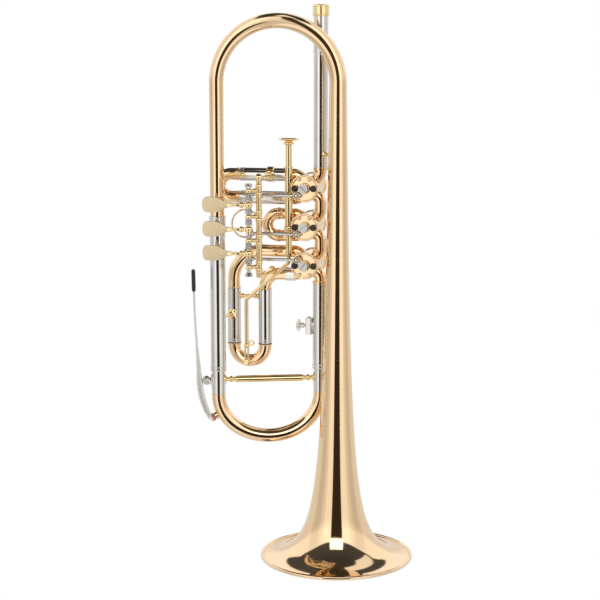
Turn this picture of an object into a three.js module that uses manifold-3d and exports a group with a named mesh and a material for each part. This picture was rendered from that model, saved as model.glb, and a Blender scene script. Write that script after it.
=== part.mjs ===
// Rotary-valve trumpet in B flat, standing on its bell.
// Millimetres, +Z up. The bell is on the +X side and the tubing loop on the -X side.
// The player's finger levers face -Y. The pieces are laid out about the bell's axis, and the whole
// is then moved so that the origin is the centre of the footprint, in the plane that the bell rests on.

import * as THREE from 'three';
import { mergeVertices } from 'three/addons/utils/BufferGeometryUtils.js';
import Module from 'manifold-3d';

const wasm = await Module();
wasm.setup();

// ---------------------------------------------------------------- driving dimensions

const GAP = 0.3;                 // clearance between neighbouring pieces
const WALL = 0.5;                // wall of the plain tubing

const RIM_RADIUS = 65;           // bell rim
const BELL_AXIS_X = 28.1;        // bell's axis, from the centre of the footprint
const BELL_THROAT = 6.2;         // sets how fast the bell flares: r = RIM * sqrt(throat / (z + throat))
const BELL_DRAW = 0.9;           // how much narrower than that the stem is drawn at its top
const BELL_TOP = 404.9;          // where the bell's stem meets the bell bow

const LEG = at(-99.7, -16, 0);   // axis of the outer leg, on the loop's far side
const LINE = at(-17.4, 13, 0);   // axis of the leadpipe, the valve knuckles and the tuning-slide leg
const LEG_RADIUS = 5.95;         // bell bow and leadpipe
const SLEEVE_RADIUS = 6.5;       // outer sleeves of the main tuning slide
const SLEEVE_END = 162;          // lower end of those sleeves
const SLEEVE_TOP = 236.6;        // upper end of the sleeve below the valves
const INNER_LEG_RADIUS = 5.85;   // main tuning bow and its inner legs
const FERRULE_BOTTOM = 286.5;    // ring that joins the left sleeve to the bell bow
const FERRULE_TOP = 294;

const TUNING_BOW_START = 140.3;  // where the lower bow starts to curve
const TUNING_BOW_DROP = 36.5;    // how far its centre line drops below that

const RECEIVER_TOP = 468.5;
const RECEIVER_RING = 9.7;       // height of the ring at the receiver's mouth
const RECEIVER_BOTTOM = 428;
const RECEIVER_BORE = 5;

const VALVE_X = -27.5;
const VALVE_TOP_Z = 317.3;
const VALVE_PITCH = 32.5;
const CASING_RADIUS = 11;
const CASING_BORE = 9.5;
const CASING_FRONT = -2;
const CASING_BACK = 28;
const ROTOR_RADIUS = 9.1;
const KNUCKLE_RADIUS = 5.1;
const PORT_REACH = 11.3;         // distance from a valve's axis to the mouth of its ports
const PLATE_FRONT = -5;
const STEM_RADIUS = 2;
const BUMPER_OFFSET = 8;

const RIGHT_UP = 45;             // directions of the four ports, from +X towards +Z
const LEFT_UP = 135;
const LEFT_DOWN = 225;
const RIGHT_DOWN = 315;

const SLIDE_OFFSET = 9.8;        // height of a slide's two tubes above and below its valve's axis
const SECOND_OFFSET = 9.4;

const CRANK = 7.69;              // from a rotor's axis to its link ball
const LINK_Y = -9.66;            // plane that the three links move in
const HINGE = at(-67, -37, 0);   // axis of the finger levers' hinge rod
const RAIL = at(-60.3, -29, 0);  // axis of the post that carries the hinge rod
const LEVER_TURN = 22.5;         // degrees a finger lever turns for a quarter turn of its rotor
const LEVER_Z = [305.9, 285.8, 265.8];
const RAIL_KNUCKLE_Z = [316.6, 295.1, 275.4, 253.4];

const TRIGGER = at(-42.4, 2, 0); // axis of the third slide's thumb plunger
const THIRD_LEFT_X = -93.4;
const THIRD_RIGHT_X = -65.9;
const THIRD_SLEEVE_TOP = 229;
const THIRD_SLEEVE_END = 182;
const THIRD_BOW_RADIUS = 5.4;

// ---------------------------------------------------------------- finishes

const gold = finish(0xd9a066, 0.14, 1);         // lacquered gold brass
const yellow = finish(0xe0bb66, 0.2, 1);        // lacquered yellow brass
const nickel = finish(0xc9c6be, 0.16, 1);       // nickel silver
const steel = finish(0x9b9a98, 0.3, 1);
const satin = finish(0xd8c592, 0.45, 1);        // finger plates, matt from the fingers
const cork = finish(0x9c5a3c, 0.8, 0);

function finish(color, roughness, metalness) {
  return new THREE.MeshStandardMaterial({ color, roughness, metalness });
}

// ---------------------------------------------------------------- shape helpers

function at(x, y, z) {
  return new THREE.Vector3(x, y, z);
}

// The same axis at another height.
function lift(axis, z) {
  return at(axis.x, axis.y, z);
}

// The point a distance along the way from one point to another.
function towards(from, to, distance) {
  return to.clone().sub(from).setLength(distance).add(from);
}

// A closed geometry as a solid, with its faces turned outwards.
function solid(geometry) {
  const bare = new THREE.BufferGeometry();
  bare.setAttribute('position', geometry.getAttribute('position'));
  bare.setIndex(geometry.getIndex());
  const merged = mergeVertices(bare, 1e-4);
  const position = merged.getAttribute('position');
  const index = merged.getIndex().array;
  const triangles = [];
  let volume = 0;
  for (let i = 0; i < index.length; i += 3) {
    const [a, b, c] = [index[i], index[i + 1], index[i + 2]];
    if (a === b || b === c || c === a) continue;
    const [p, q, r] = [a, b, c].map((k) => new THREE.Vector3().fromBufferAttribute(position, k));
    volume += p.dot(q.cross(r));
    triangles.push([a, b, c]);
  }
  const outward = volume < 0 ? triangles.map(([a, b, c]) => [a, c, b]) : triangles;
  const mesh = new wasm.Mesh({
    numProp: 3,
    vertProperties: new Float32Array(position.array),
    triVerts: new Uint32Array(outward.flat()),
  });
  return new wasm.Manifold(mesh);
}

function join(...solids) {
  return solids.flat().reduce((all, one) => all.add(one));
}

// A turned shape about the axis from one point towards another.
// The profile lists [radius, distance along the axis] and is closed from its last point to its first.
function turned(profile, from, to, sides = 12) {
  const points = [...profile, profile[0]].map(([radius, along]) => new THREE.Vector2(radius, along));
  const geometry = new THREE.LatheGeometry(points, sides);
  const axis = to.clone().sub(from).normalize();
  const turn = new THREE.Quaternion().setFromUnitVectors(at(0, 1, 0), axis);
  geometry.applyQuaternion(turn);
  geometry.translate(from.x, from.y, from.z);
  return solid(geometry);
}

function rod(from, to, radius, sides = 8) {
  const length = from.distanceTo(to);
  return turned([[0, 0], [radius, 0], [radius, length], [0, length]], from, to, sides);
}

function ring(from, to, outer, inner, sides = 10) {
  const length = from.distanceTo(to);
  return turned([[inner, 0], [outer, 0], [outer, length], [inner, length]], from, to, sides);
}

function ball(centre, radius) {
  const geometry = new THREE.SphereGeometry(radius, 8, 5);
  geometry.translate(centre.x, centre.y, centre.z);
  return solid(geometry);
}

// A box between two opposite corners.
function block(low, high) {
  const size = high.clone().sub(low);
  const geometry = new THREE.BoxGeometry(size.x, size.y, size.z);
  geometry.translate(low.x + size.x / 2, low.y + size.y / 2, low.z + size.z / 2);
  return solid(geometry);
}

// Stations along straight runs that are joined by round bends, one bend radius for every corner.
function route(corners, bend, steps = 4) {
  const stations = [corners[0]];
  for (let i = 1; i < corners.length - 1; i += 1) {
    const corner = corners[i];
    const back = corners[i - 1].clone().sub(corner).normalize();
    const onward = corners[i + 1].clone().sub(corner).normalize();
    const half = back.angleTo(onward) / 2;
    const centre = back.clone().add(onward).setLength(bend / Math.sin(half)).add(corner);
    const spoke = back.clone().multiplyScalar(bend / Math.tan(half)).add(corner).sub(centre);
    const axis = onward.clone().cross(back).normalize();
    for (let k = 0; k <= steps; k += 1) {
      const angle = ((Math.PI - 2 * half) * k) / steps;
      stations.push(spoke.clone().applyAxisAngle(axis, angle).add(centre));
    }
  }
  stations.push(corners.at(-1));
  return stations.filter((p, i) => i === 0 || p.distanceTo(stations[i - 1]) > 0.01);
}

// An open-ended tube through the stations. The outer radius may change with the share of its length.
function pipe(stations, outer, wall = WALL, sides = 10) {
  const radiusAt = typeof outer === 'function' ? outer : () => outer;
  const lengths = [0];
  for (let i = 1; i < stations.length; i += 1) {
    lengths.push(lengths[i - 1] + stations[i].distanceTo(stations[i - 1]));
  }
  const last = stations.length - 1;
  const positions = [];
  let side = null;
  stations.forEach((centre, i) => {
    const before = stations[Math.max(i - 1, 0)];
    const after = stations[Math.min(i + 1, last)];
    const ahead = after.clone().sub(centre).normalize();
    const behind = centre.clone().sub(before).normalize();
    const tangent = ahead.add(behind).normalize();
    side = side === null ? firstSide(tangent) : side.projectOnPlane(tangent).normalize();
    const other = tangent.clone().cross(side);
    const radius = radiusAt(lengths[i] / lengths[last]);
    for (const r of [radius, radius - wall]) {
      for (let k = 0; k < sides; k += 1) {
        const angle = (2 * Math.PI * k) / sides;
        const spoke = side.clone().multiplyScalar(r * Math.cos(angle));
        positions.push(...spoke.addScaledVector(other, r * Math.sin(angle)).add(centre));
      }
    }
  });
  const index = [];
  const vertex = (station, layer, k) => (station * 2 + layer) * sides + (k % sides);
  const quad = (a, b, c, d) => index.push(a, b, c, a, c, d);
  for (let k = 0; k < sides; k += 1) {
    for (let i = 0; i < last; i += 1) {
      quad(vertex(i, 0, k), vertex(i, 0, k + 1), vertex(i + 1, 0, k + 1), vertex(i + 1, 0, k));
      quad(vertex(i, 1, k + 1), vertex(i, 1, k), vertex(i + 1, 1, k), vertex(i + 1, 1, k + 1));
    }
    quad(vertex(0, 0, k), vertex(0, 1, k), vertex(0, 1, k + 1), vertex(0, 0, k + 1));
    quad(vertex(last, 0, k + 1), vertex(last, 1, k + 1), vertex(last, 1, k), vertex(last, 0, k));
  }
  const geometry = new THREE.BufferGeometry();
  geometry.setAttribute('position', new THREE.Float32BufferAttribute(positions, 3));
  geometry.setIndex(index);
  return solid(geometry);
}

// A direction square to the tangent, level where that is possible.
function firstSide(tangent) {
  const up = Math.abs(tangent.z) > 0.9 ? at(1, 0, 0) : at(0, 0, 1);
  return up.projectOnPlane(tangent).normalize();
}

const trumpet = new THREE.Group();
trumpet.position.x = BELL_AXIS_X;

// Adds a solid to the trumpet as one named piece.
function piece(name, shape, material) {
  const { vertProperties, triVerts, numProp } = shape.getMesh();
  const positions = new Float32Array((vertProperties.length / numProp) * 3);
  for (let i = 0; i < positions.length; i += 1) {
    positions[i] = vertProperties[Math.floor(i / 3) * numProp + (i % 3)];
  }
  const geometry = new THREE.BufferGeometry();
  geometry.setAttribute('position', new THREE.BufferAttribute(positions, 3));
  geometry.setIndex(new THREE.BufferAttribute(new Uint32Array(triVerts), 1));
  geometry.computeVertexNormals();
  const mesh = new THREE.Mesh(geometry, material);
  mesh.name = name;
  trumpet.add(mesh);
}

// ---------------------------------------------------------------- bell and bell bow

function bellRadius(z) {
  return RIM_RADIUS * Math.sqrt(BELL_THROAT / (z + BELL_THROAT)) - BELL_DRAW * (z / BELL_TOP) ** 2;
}

// The bell: one long tube, from the ferrule over the bow and down to the flare.
function bell() {
  piece('bell', join(bellFlare(), bellBow()), gold);
}

// A horn that flares towards its rim, with a bead rolled round the rim.
function bellFlare() {
  const wall = 0.7;
  const bead = 1.6;
  const heights = [];
  const rings = 12;
  for (let i = 1; i <= rings; i += 1) {
    heights.push(2.2 + (BELL_TOP + 0.5 - 2.2) * (i / rings) ** 2.6);
  }
  const outside = heights.map((z) => [bellRadius(z), z]);
  const inside = heights.map((z) => [bellRadius(z) - wall - 1.2 / (1 + z), z - 0.4 / (1 + z)]).reverse();
  const rim = [[RIM_RADIUS - 2 * bead, 0.7], [RIM_RADIUS - bead - 1, 0], [RIM_RADIUS - bead + 0.8, 0],
    [RIM_RADIUS, bead], [RIM_RADIUS - bead, 2 * bead], [RIM_RADIUS - 2.4 * bead, 1.4 * bead]];
  return turned([...rim, ...outside.slice(1), ...inside.slice(0, -1)], at(0, 0, 0), at(0, 0, 1), 24);
}

// The bow that carries the air over the top and down into the bell, widening as it goes.
function bellBow() {
  const span = Math.hypot(LEG.x, LEG.y);
  const top = BELL_TOP + span / 2;
  const corners = [lift(LEG, FERRULE_BOTTOM + 3.5), lift(LEG, top), at(0, 0, top), at(0, 0, BELL_TOP)];
  const stations = route(corners, span / 2, 6);
  const straight = (BELL_TOP - FERRULE_BOTTOM) / (BELL_TOP - FERRULE_BOTTOM + (Math.PI * span) / 2);
  const widen = (share) => Math.max(0, (share - straight) / (1 - straight));
  const end = bellRadius(BELL_TOP);
  return pipe(stations, (share) => LEG_RADIUS + (end - LEG_RADIUS) * widen(share) ** 1.3, 0.7, 12);
}

// The ring that joins the tuning-slide sleeve to the bell bow.
function bowFerrule() {
  const outer = 7.3;
  const inner = SLEEVE_RADIUS + 0.15;
  piece('bow_ferrule', ring(lift(LEG, FERRULE_BOTTOM), lift(LEG, FERRULE_TOP), outer, inner), nickel);
}

// ---------------------------------------------------------------- leadpipe and main tuning slide

function mouthpieceReceiver() {
  const ringBase = RECEIVER_TOP - RECEIVER_RING;
  const tube = ring(lift(LINE, RECEIVER_BOTTOM), lift(LINE, ringBase + 1), 6.2, RECEIVER_BORE, 16);
  const profile = [[RECEIVER_BORE, 0], [7, 0.8], [7, RECEIVER_RING - 1], [6.3, RECEIVER_RING],
    [RECEIVER_BORE, RECEIVER_RING]];
  const mouth = turned(profile, lift(LINE, ringBase), lift(LINE, RECEIVER_TOP), 16);
  piece('mouthpiece_receiver', join(tube, mouth), nickel);
}

// The leadpipe, with the knuckle that takes it into the first valve.
function leadpipe() {
  const bottom = VALVE_TOP_Z + 15.5;
  const top = RECEIVER_BOTTOM - GAP;
  const straight = ring(lift(LINE, bottom), lift(LINE, top), LEG_RADIUS, KNUCKLE_RADIUS - WALL);
  const corners = [lift(LINE, bottom + 0.5), knuckleCorner(1, RIGHT_UP), portPlace(1, RIGHT_UP, PORT_REACH)];
  piece('leadpipe', join(straight, knuckle(corners)), nickel);
}

function mainSlideSleeves() {
  const bore = INNER_LEG_RADIUS + 0.38;
  const bands = [SLEEVE_END, SLEEVE_END + 2.6];
  const sleeve = (axis, top) => join(
    ring(lift(axis, SLEEVE_END), lift(axis, top), SLEEVE_RADIUS, bore),
    bands.map((z) => ring(lift(axis, z), lift(axis, z + 1.1), SLEEVE_RADIUS + 0.6, bore)),
  );
  piece('main_slide_sleeve_left', sleeve(LEG, FERRULE_BOTTOM + 3), nickel);
  const exit = [portPlace(3, RIGHT_DOWN, PORT_REACH), knuckleCorner(3, RIGHT_DOWN), lift(LINE, SLEEVE_TOP - 0.8)];
  const collar = ring(lift(LINE, SLEEVE_TOP - 1), lift(LINE, SLEEVE_TOP), SLEEVE_RADIUS, KNUCKLE_RADIUS - WALL);
  piece('main_slide_sleeve_right', join(sleeve(LINE, SLEEVE_TOP - 0.5), collar, knuckle(exit)), nickel);
}

// A point on the centre line of the main tuning bow. The angle runs from 0 at the leg to 180 degrees.
function tuningBowPoint(angle) {
  const across = LINE.clone().sub(LEG);
  const share = (1 - Math.cos(angle)) / 2;
  return lift(LEG, TUNING_BOW_START - TUNING_BOW_DROP * Math.sin(angle)).addScaledVector(across, share);
}

// The outward direction in the bow's plane, from the loop towards the water key.
const OUT = LEG.clone().sub(LINE).normalize();

// Where the water key's seat leaves the bow, and the direction that it points.
const SEAT_ANGLE = Math.asin(14.7 / TUNING_BOW_DROP);
const SEAT_POINT = tuningBowPoint(SEAT_ANGLE);
const SEAT_AXIS = seatAxis();

function seatAxis() {
  const step = 0.01;
  const along = tuningBowPoint(SEAT_ANGLE + step).sub(tuningBowPoint(SEAT_ANGLE - step)).normalize();
  return OUT.clone().projectOnPlane(along).normalize();
}

function seatPlace(distance) {
  return SEAT_POINT.clone().addScaledVector(SEAT_AXIS, distance);
}

function mainTuningBow() {
  const inserted = 230;
  const stations = [lift(LEG, inserted)];
  const steps = 12;
  for (let i = 0; i <= steps; i += 1) stations.push(tuningBowPoint((Math.PI * i) / steps));
  stations.push(lift(LINE, inserted));
  const drain = rod(seatPlace(3), seatPlace(12), 1.4);
  const seat = ring(seatPlace(4.9), seatPlace(7.8), 3.1, 1.4, 12);
  const bow = pipe(stations, INNER_LEG_RADIUS, 0.6);
  piece('main_tuning_bow', join(bow.subtract(drain), seat), gold);
}

// The stretcher between the two inner legs, stepped at both ends.
function mainSlideBrace() {
  const z = 154;
  const left = lift(LEG, z);
  const right = lift(LINE, z);
  const clear = INNER_LEG_RADIUS + GAP;
  const length = left.distanceTo(right) - 2 * clear;
  const profile = [[0, 0], [2.8, 0], [1.9, 2.4], [2.6, 3.4], [2.6, 5], [1.7, 5.4], [1.7, 6.8], [2.8, 7.2]];
  const mirrored = profile.map(([radius, along]) => [radius, length - along]).reverse();
  const start = towards(left, right, clear);
  piece('main_slide_brace', turned([...profile, ...mirrored], start, right), yellow);
}

// ---------------------------------------------------------------- water key

const KEY_PIVOT = lift(LEG, 153.4).addScaledVector(OUT, 10.2);
const KEY_AXIS = OUT.clone().cross(at(0, 0, 1));

function keyPlace(out, z, side = 0) {
  return lift(LEG, z).addScaledVector(OUT, out).addScaledVector(KEY_AXIS, side);
}

// The saddle on the slide's leg, with two ears that carry the pivot pin.
function waterKeyPost() {
  const z = KEY_PIVOT.z;
  const pin = rod(keyPlace(10.2, z, -5.4), keyPlace(10.2, z, 5.4), 0.9);
  const ears = [-4.5, 4.5].map((side) => (
    rod(keyPlace(INNER_LEG_RADIUS + 0.9, z, side), keyPlace(11.2, z, side), 1)));
  const saddle = rod(keyPlace(INNER_LEG_RADIUS + GAP, z, 0), keyPlace(INNER_LEG_RADIUS + 1.4, z, 0), 4.6, 12);
  piece('water_key_post', join(pin, ears, saddle), nickel);
}

// The long lever: a narrow strip that stands nearly upright beside the leg and curls in to the cork's cup.
function waterKeyLever() {
  const foot = seatPlace(12.6).sub(lift(LEG, 0));
  const bends = [[21, 249], [20.6, 228], [19.6, 205], [18, 182], [16.7, 163], [16.2, 150], [15, 140], [12.4, 131],
    [foot.dot(OUT), foot.z]];
  const cup = rod(seatPlace(11.2), seatPlace(12.4), 3.4, 12);
  const z = KEY_PIVOT.z;
  const barrel = ring(keyPlace(10.2, z, -3.2), keyPlace(10.2, z, 3.2), 2.1, 1.2);
  const lug = strip([[12, z], [15.9, z]], 4, 2.2);
  piece('water_key_lever', join(strip(bends, 2.1, 4.2), cup, barrel, lug), nickel);
}

// A flat bar that follows points [out from the leg, height] in the water key's plane.
function strip(points, thickness, width) {
  const path = points.map(([out, z]) => new THREE.Vector2(out, z));
  const edge = (side) => path.map((point, i) => {
    const before = path[Math.max(i - 1, 0)];
    const after = path[Math.min(i + 1, path.length - 1)];
    const along = after.clone().sub(before).normalize();
    return point.clone().add(new THREE.Vector2(-along.y, along.x).multiplyScalar((side * thickness) / 2));
  });
  const shape = new THREE.Shape([...edge(-1), ...edge(1).reverse()]);
  const geometry = new THREE.ExtrudeGeometry(shape, { depth: width, bevelEnabled: false });
  geometry.applyMatrix4(new THREE.Matrix4().makeBasis(OUT, at(0, 0, 1), KEY_AXIS));
  const corner = lift(LEG, 0).addScaledVector(KEY_AXIS, -width / 2);
  geometry.translate(corner.x, corner.y, corner.z);
  return solid(geometry);
}

function waterKeyPad() {
  piece('water_key_pad', rod(seatPlace(8.1), seatPlace(10.9), 3.3, 12), cork);
}

// ---------------------------------------------------------------- valves

function valveAxis(number) {
  return at(VALVE_X, 0, VALVE_TOP_Z - VALVE_PITCH * (number - 1));
}

// The place a distance from a valve's axis, at an angle from +X towards +Z, in the tubing's plane.
function portPlace(number, degrees, distance) {
  const angle = THREE.MathUtils.degToRad(degrees);
  const axis = valveAxis(number);
  return at(axis.x + distance * Math.cos(angle), LINE.y, axis.z + distance * Math.sin(angle));
}

function atDepth(axis, y) {
  return at(axis.x, y, axis.z);
}

// The shell of one valve, with its four ports drilled at a quarter turn from each other.
function valveCasing(number) {
  const axis = valveAxis(number);
  const shell = ring(atDepth(axis, CASING_FRONT), atDepth(axis, CASING_BACK), CASING_RADIUS, CASING_BORE, 16);
  const drills = [RIGHT_UP, LEFT_UP].map((degrees) => (
    rod(portPlace(number, degrees, -13), portPlace(number, degrees, 13), 4.2, 6)));
  piece(`valve_casing_${number}`, shell.subtract(join(drills)), gold);
}

// The rotor: a plug with two passages, each turning the air from one port to the next.
function rotor(number) {
  const axis = valveAxis(number);
  const profile = [[0, 0], [STEM_RADIUS, 0], [STEM_RADIUS, 3.7], [ROTOR_RADIUS, 3.7], [ROTOR_RADIUS, 32.4],
    [STEM_RADIUS, 32.4], [STEM_RADIUS, 35], [0, 35]];
  const plug = turned(profile, atDepth(axis, PLATE_FRONT - 0.1), atDepth(axis, CASING_BACK), 16);
  const passages = [-1, 1].map((side) => {
    const torus = new THREE.TorusGeometry(ROTOR_RADIUS, 3.4, 6, 16);
    torus.rotateX(Math.PI / 2);
    torus.translate(axis.x + side * ROTOR_RADIUS * Math.SQRT2, LINE.y, axis.z);
    return solid(torus);
  });
  piece(`rotor_${number}`, plug.subtract(join(passages)), nickel);
}

// The front plate with its bearing hole, two bumpers that stop the arm and two small bosses.
function frontPlate(number, up) {
  const axis = valveAxis(number);
  const plate = ring(atDepth(axis, PLATE_FRONT), atDepth(axis, CASING_FRONT - GAP), CASING_RADIUS,
    STEM_RADIUS + 0.2, 16);
  const stand = (x, z, radius, y) => (
    rod(at(axis.x + x, PLATE_FRONT + 0.5, axis.z + z), at(axis.x + x, y, axis.z + z), radius));
  const bumpers = [-BUMPER_OFFSET, BUMPER_OFFSET].map((x) => stand(x, 0, 2.4, -7.9));
  const bosses = [-4.4, 4.4].map((x) => stand(x, 7.6 * up, 1.7, -6.6));
  piece(`valve_front_plate_${number}`, join(plate, bumpers, bosses), yellow);
}

function rearCap(number) {
  const axis = valveAxis(number);
  const profile = [[0, 2.2], [2.6, 2.2], [2.6, 0.3], [11.6, 0.3], [11.6, 3.4], [10.6, 4.6], [4.2, 4.6], [3.4, 6], [0, 6]];
  piece(`valve_rear_cap_${number}`, turned(profile, atDepth(axis, CASING_BACK), atDepth(axis, 40), 16), yellow);
}

// The end of the crank of a valve's stop arm. Up is 1 where the arm points up at rest, and -1 where it hangs.
function crankPlace(number, up, y) {
  const axis = valveAxis(number);
  const reach = CRANK / Math.SQRT2;
  return at(axis.x - reach, y, axis.z + up * reach);
}

// The arm on a rotor's stem, with its screw and the stud of the link's ball.
function stopArm(number, up) {
  const axis = valveAxis(number);
  const back = PLATE_FRONT - 0.4;
  const front = -7.9;
  const hub = rod(atDepth(axis, back), atDepth(axis, front), 4.6, 12);
  const screw = rod(atDepth(axis, front + 0.2), atDepth(axis, -10.4), 3.9, 12);
  const tip = rod(crankPlace(number, up, back), crankPlace(number, up, front), 2.4);
  const stud = rod(crankPlace(number, up, front + 0.2), crankPlace(number, up, -12), 1.6);
  const length = CRANK;
  const geometry = new THREE.BoxGeometry(length, back - front, 4.4);
  geometry.rotateY(THREE.MathUtils.degToRad(180 + up * 45));
  const middle = crankPlace(number, up, (back + front) / 2).add(atDepth(axis, (back + front) / 2)).multiplyScalar(0.5);
  geometry.translate(middle.x, middle.y, middle.z);
  piece(`stop_arm_${number}`, join(hub, screw, tip, stud, solid(geometry)), yellow);
}

// ---------------------------------------------------------------- tubing between and beside the valves

// The corner where a port's slanting tube meets the level or upright run, at an offset from the valve's axis.
function portCorner(number, degrees, offset) {
  return portPlace(number, degrees, offset * Math.SQRT2);
}

// Where the slanting tube from a valve's port meets the upright line of the main tubing.
function knuckleCorner(number, degrees) {
  return portCorner(number, degrees, LINE.x - VALVE_X);
}

function knuckle(corners) {
  return pipe(route(corners, 6.8, 2), KNUCKLE_RADIUS);
}

function valveKnuckles() {
  for (const number of [1, 2]) {
    const corners = [portPlace(number, RIGHT_DOWN, PORT_REACH), knuckleCorner(number, RIGHT_DOWN),
      knuckleCorner(number + 1, RIGHT_UP), portPlace(number + 1, RIGHT_UP, PORT_REACH)];
    piece(`valve_knuckle_${number}_${number + 1}`, knuckle(corners), gold);
  }
}

// One outer tube of a level slide, from its valve's port to its open end.
function levelSleeve(number, degrees, offset, radius, endX, bend) {
  const corner = portCorner(number, degrees, offset);
  const corners = [portPlace(number, degrees, PORT_REACH), corner, at(endX, corner.y, corner.z)];
  return pipe(route(corners, bend, 2), radius, 0.35);
}

// The sliding half of a slide: a round bow with two legs that run inside the outer tubes.
// The legs end at the bow's mouths, and the bow may run straight for a while before it turns.
function crook(legs, bowRadius, legRadius, bore, straight = 0) {
  const [first, second] = legs;
  const half = first.end.distanceTo(second.end) / 2;
  const beyond = first.end.clone().sub(first.start).setLength(half + straight);
  const corners = [first.end, first.end.clone().add(beyond), second.end.clone().add(beyond), second.end];
  const bow = pipe(route(corners, half), bowRadius, bowRadius - bore);
  const tubes = legs.map(({ start, end }) => (
    pipe([start, towards(start, end, start.distanceTo(end) + 0.4)], legRadius, legRadius - bore)));
  return join(bow, tubes);
}

function firstSlide() {
  const radius = 5.6;
  const endX = -86.6;
  piece('first_slide_sleeve_upper', levelSleeve(1, LEFT_UP, SLIDE_OFFSET, radius, endX, 5.8), nickel);
  piece('first_slide_sleeve_lower', levelSleeve(1, LEFT_DOWN, SLIDE_OFFSET, radius, endX, 5.8), nickel);
  const z = VALVE_TOP_Z;
  const legs = [SLIDE_OFFSET, -SLIDE_OFFSET].map((offset) => (
    { start: at(-58, LINE.y, z + offset), end: at(-89.5, LINE.y, z + offset) }));
  piece('first_slide_crook', crook(legs, 5.2, 4.8, 4.3, 6), gold);
}

function secondSlide() {
  const radius = 4.6;
  const endX = -52.5;
  piece('second_slide_sleeve_upper', levelSleeve(2, LEFT_UP, SECOND_OFFSET, radius, endX, 4.7), gold);
  piece('second_slide_sleeve_lower', levelSleeve(2, LEFT_DOWN, SECOND_OFFSET, radius, endX, 4.7), gold);
  const z = valveAxis(2).z;
  const legs = [SECOND_OFFSET, -SECOND_OFFSET].map((offset) => (
    { start: at(-41.5, LINE.y, z + offset), end: at(-53.9, LINE.y, z + offset) }));
  piece('second_slide_crook', join(crook(legs, 4.9, 4, 3.6), pullRing(at(-83, LINE.y, z))), gold);
}

// The thin ring that a finger pulls the second slide by, on a short stem from the slide's bow.
function pullRing(centre) {
  const radius = 11.9;
  const geometry = new THREE.TorusGeometry(radius, 0.85, 5, 14);
  geometry.rotateX(Math.PI / 2);
  geometry.translate(centre.x, centre.y, centre.z);
  const along = (distance) => at(centre.x + distance, centre.y, centre.z);
  const stem = rod(along(radius - 0.4), along(radius + 3.4), 1.6);
  return join(solid(geometry), stem);
}

// The third slide hangs down: each port's tube runs level and then turns down into its sleeve.
function thirdSlide() {
  const down = (degrees, x, bend) => {
    const corner = portCorner(3, degrees, SLIDE_OFFSET);
    const turn = at(x, corner.y, corner.z);
    const start = route([portPlace(3, degrees, PORT_REACH), corner, turn], 5.9, 2);
    const end = route([corner, turn, at(x, corner.y, THIRD_SLEEVE_TOP + GAP)], bend);
    return [...start.slice(0, -1), ...end.slice(1)];
  };
  piece('third_slide_tube_outer', pipe(down(LEFT_UP, THIRD_LEFT_X, 25), 5.2), gold);
  piece('third_slide_tube_inner', pipe(down(LEFT_DOWN, THIRD_RIGHT_X, 12.5), 5.2), gold);
  for (const [name, x] of [['left', THIRD_LEFT_X], ['right', THIRD_RIGHT_X]]) {
    const sleeve = ring(at(x, LINE.y, THIRD_SLEEVE_END), at(x, LINE.y, THIRD_SLEEVE_TOP), 5.95, 5.5);
    piece(`third_slide_sleeve_${name}`, sleeve, nickel);
  }
  const bowStart = 179.8;
  const legs = [THIRD_LEFT_X, THIRD_RIGHT_X].map((x) => (
    { start: at(x, LINE.y, 214), end: at(x, LINE.y, bowStart) }));
  const middle = (THIRD_LEFT_X + THIRD_RIGHT_X) / 2;
  const lugZ = bowStart - (THIRD_RIGHT_X - THIRD_LEFT_X) / 2;
  const lug = rod(at(middle, 4.9, lugZ), at(middle, LINE.y - THIRD_BOW_RADIUS + 0.5, lugZ), 2.6, 12);
  piece('third_slide_crook', join(crook(legs, THIRD_BOW_RADIUS, 5.1, 4.6), lug), gold);
}

// ---------------------------------------------------------------- trigger of the third slide

function trigger() {
  const guide = ring(lift(TRIGGER, 279.8), lift(TRIGGER, 334.8), 3.4, 3.05);
  const collars = [306.5, 281].map((z) => ring(lift(TRIGGER, z), lift(TRIGGER, z + 4.5), 4.1, 3.2));
  const foot = rod(at(TRIGGER.x, 5, 327.1), at(TRIGGER.x, 7.1, 327.1), 2);
  piece('trigger_guide_tube', join(guide, collars, foot), yellow);
  const button = [[0, 258.8], [2.6, 258.8], [2.6, 352.6], [4.6, 353.8], [4.6, 354.8], [2.4, 355.6], [9, 357.6],
    [9, 358.4], [3, 357.4], [0, 357.4]];
  piece('trigger_plunger', turned(button, lift(TRIGGER, 0), lift(TRIGGER, 1)), yellow);
  const x = (THIRD_LEFT_X + THIRD_RIGHT_X) / 2;
  const path = [lift(TRIGGER, 258.4), at(TRIGGER.x, TRIGGER.y, 253.6), at(x, TRIGGER.y, 221), at(x, TRIGGER.y, 168)];
  const arm = path.slice(1).map((point, i) => rod(path[i], point, 1.7));
  const elbows = path.slice(1, 3).map((point) => ball(point, 1.7));
  const eye = rod(at(x, 0.2, 166.05), at(x, 4.5, 166.05), 2.7, 12);
  piece('trigger_push_rod', join(arm, elbows, eye), yellow);
}

// ---------------------------------------------------------------- finger levers and links

// Height of a valve's link: the height of its ball, below the axis of valves 1 and 2 and above that of valve 3.
function linkZ(number, up) {
  return crankPlace(number, up, 0).z;
}

const LEVER_ARM = CRANK / Math.SQRT2 / Math.sin(THREE.MathUtils.degToRad(LEVER_TURN / 2));

// Where a lever's driving pin stands at rest.
function leverPin(z) {
  const lean = THREE.MathUtils.degToRad(LEVER_TURN / 2);
  return at(HINGE.x - LEVER_ARM * Math.sin(lean), HINGE.y + LEVER_ARM * Math.cos(lean), z);
}

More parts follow.
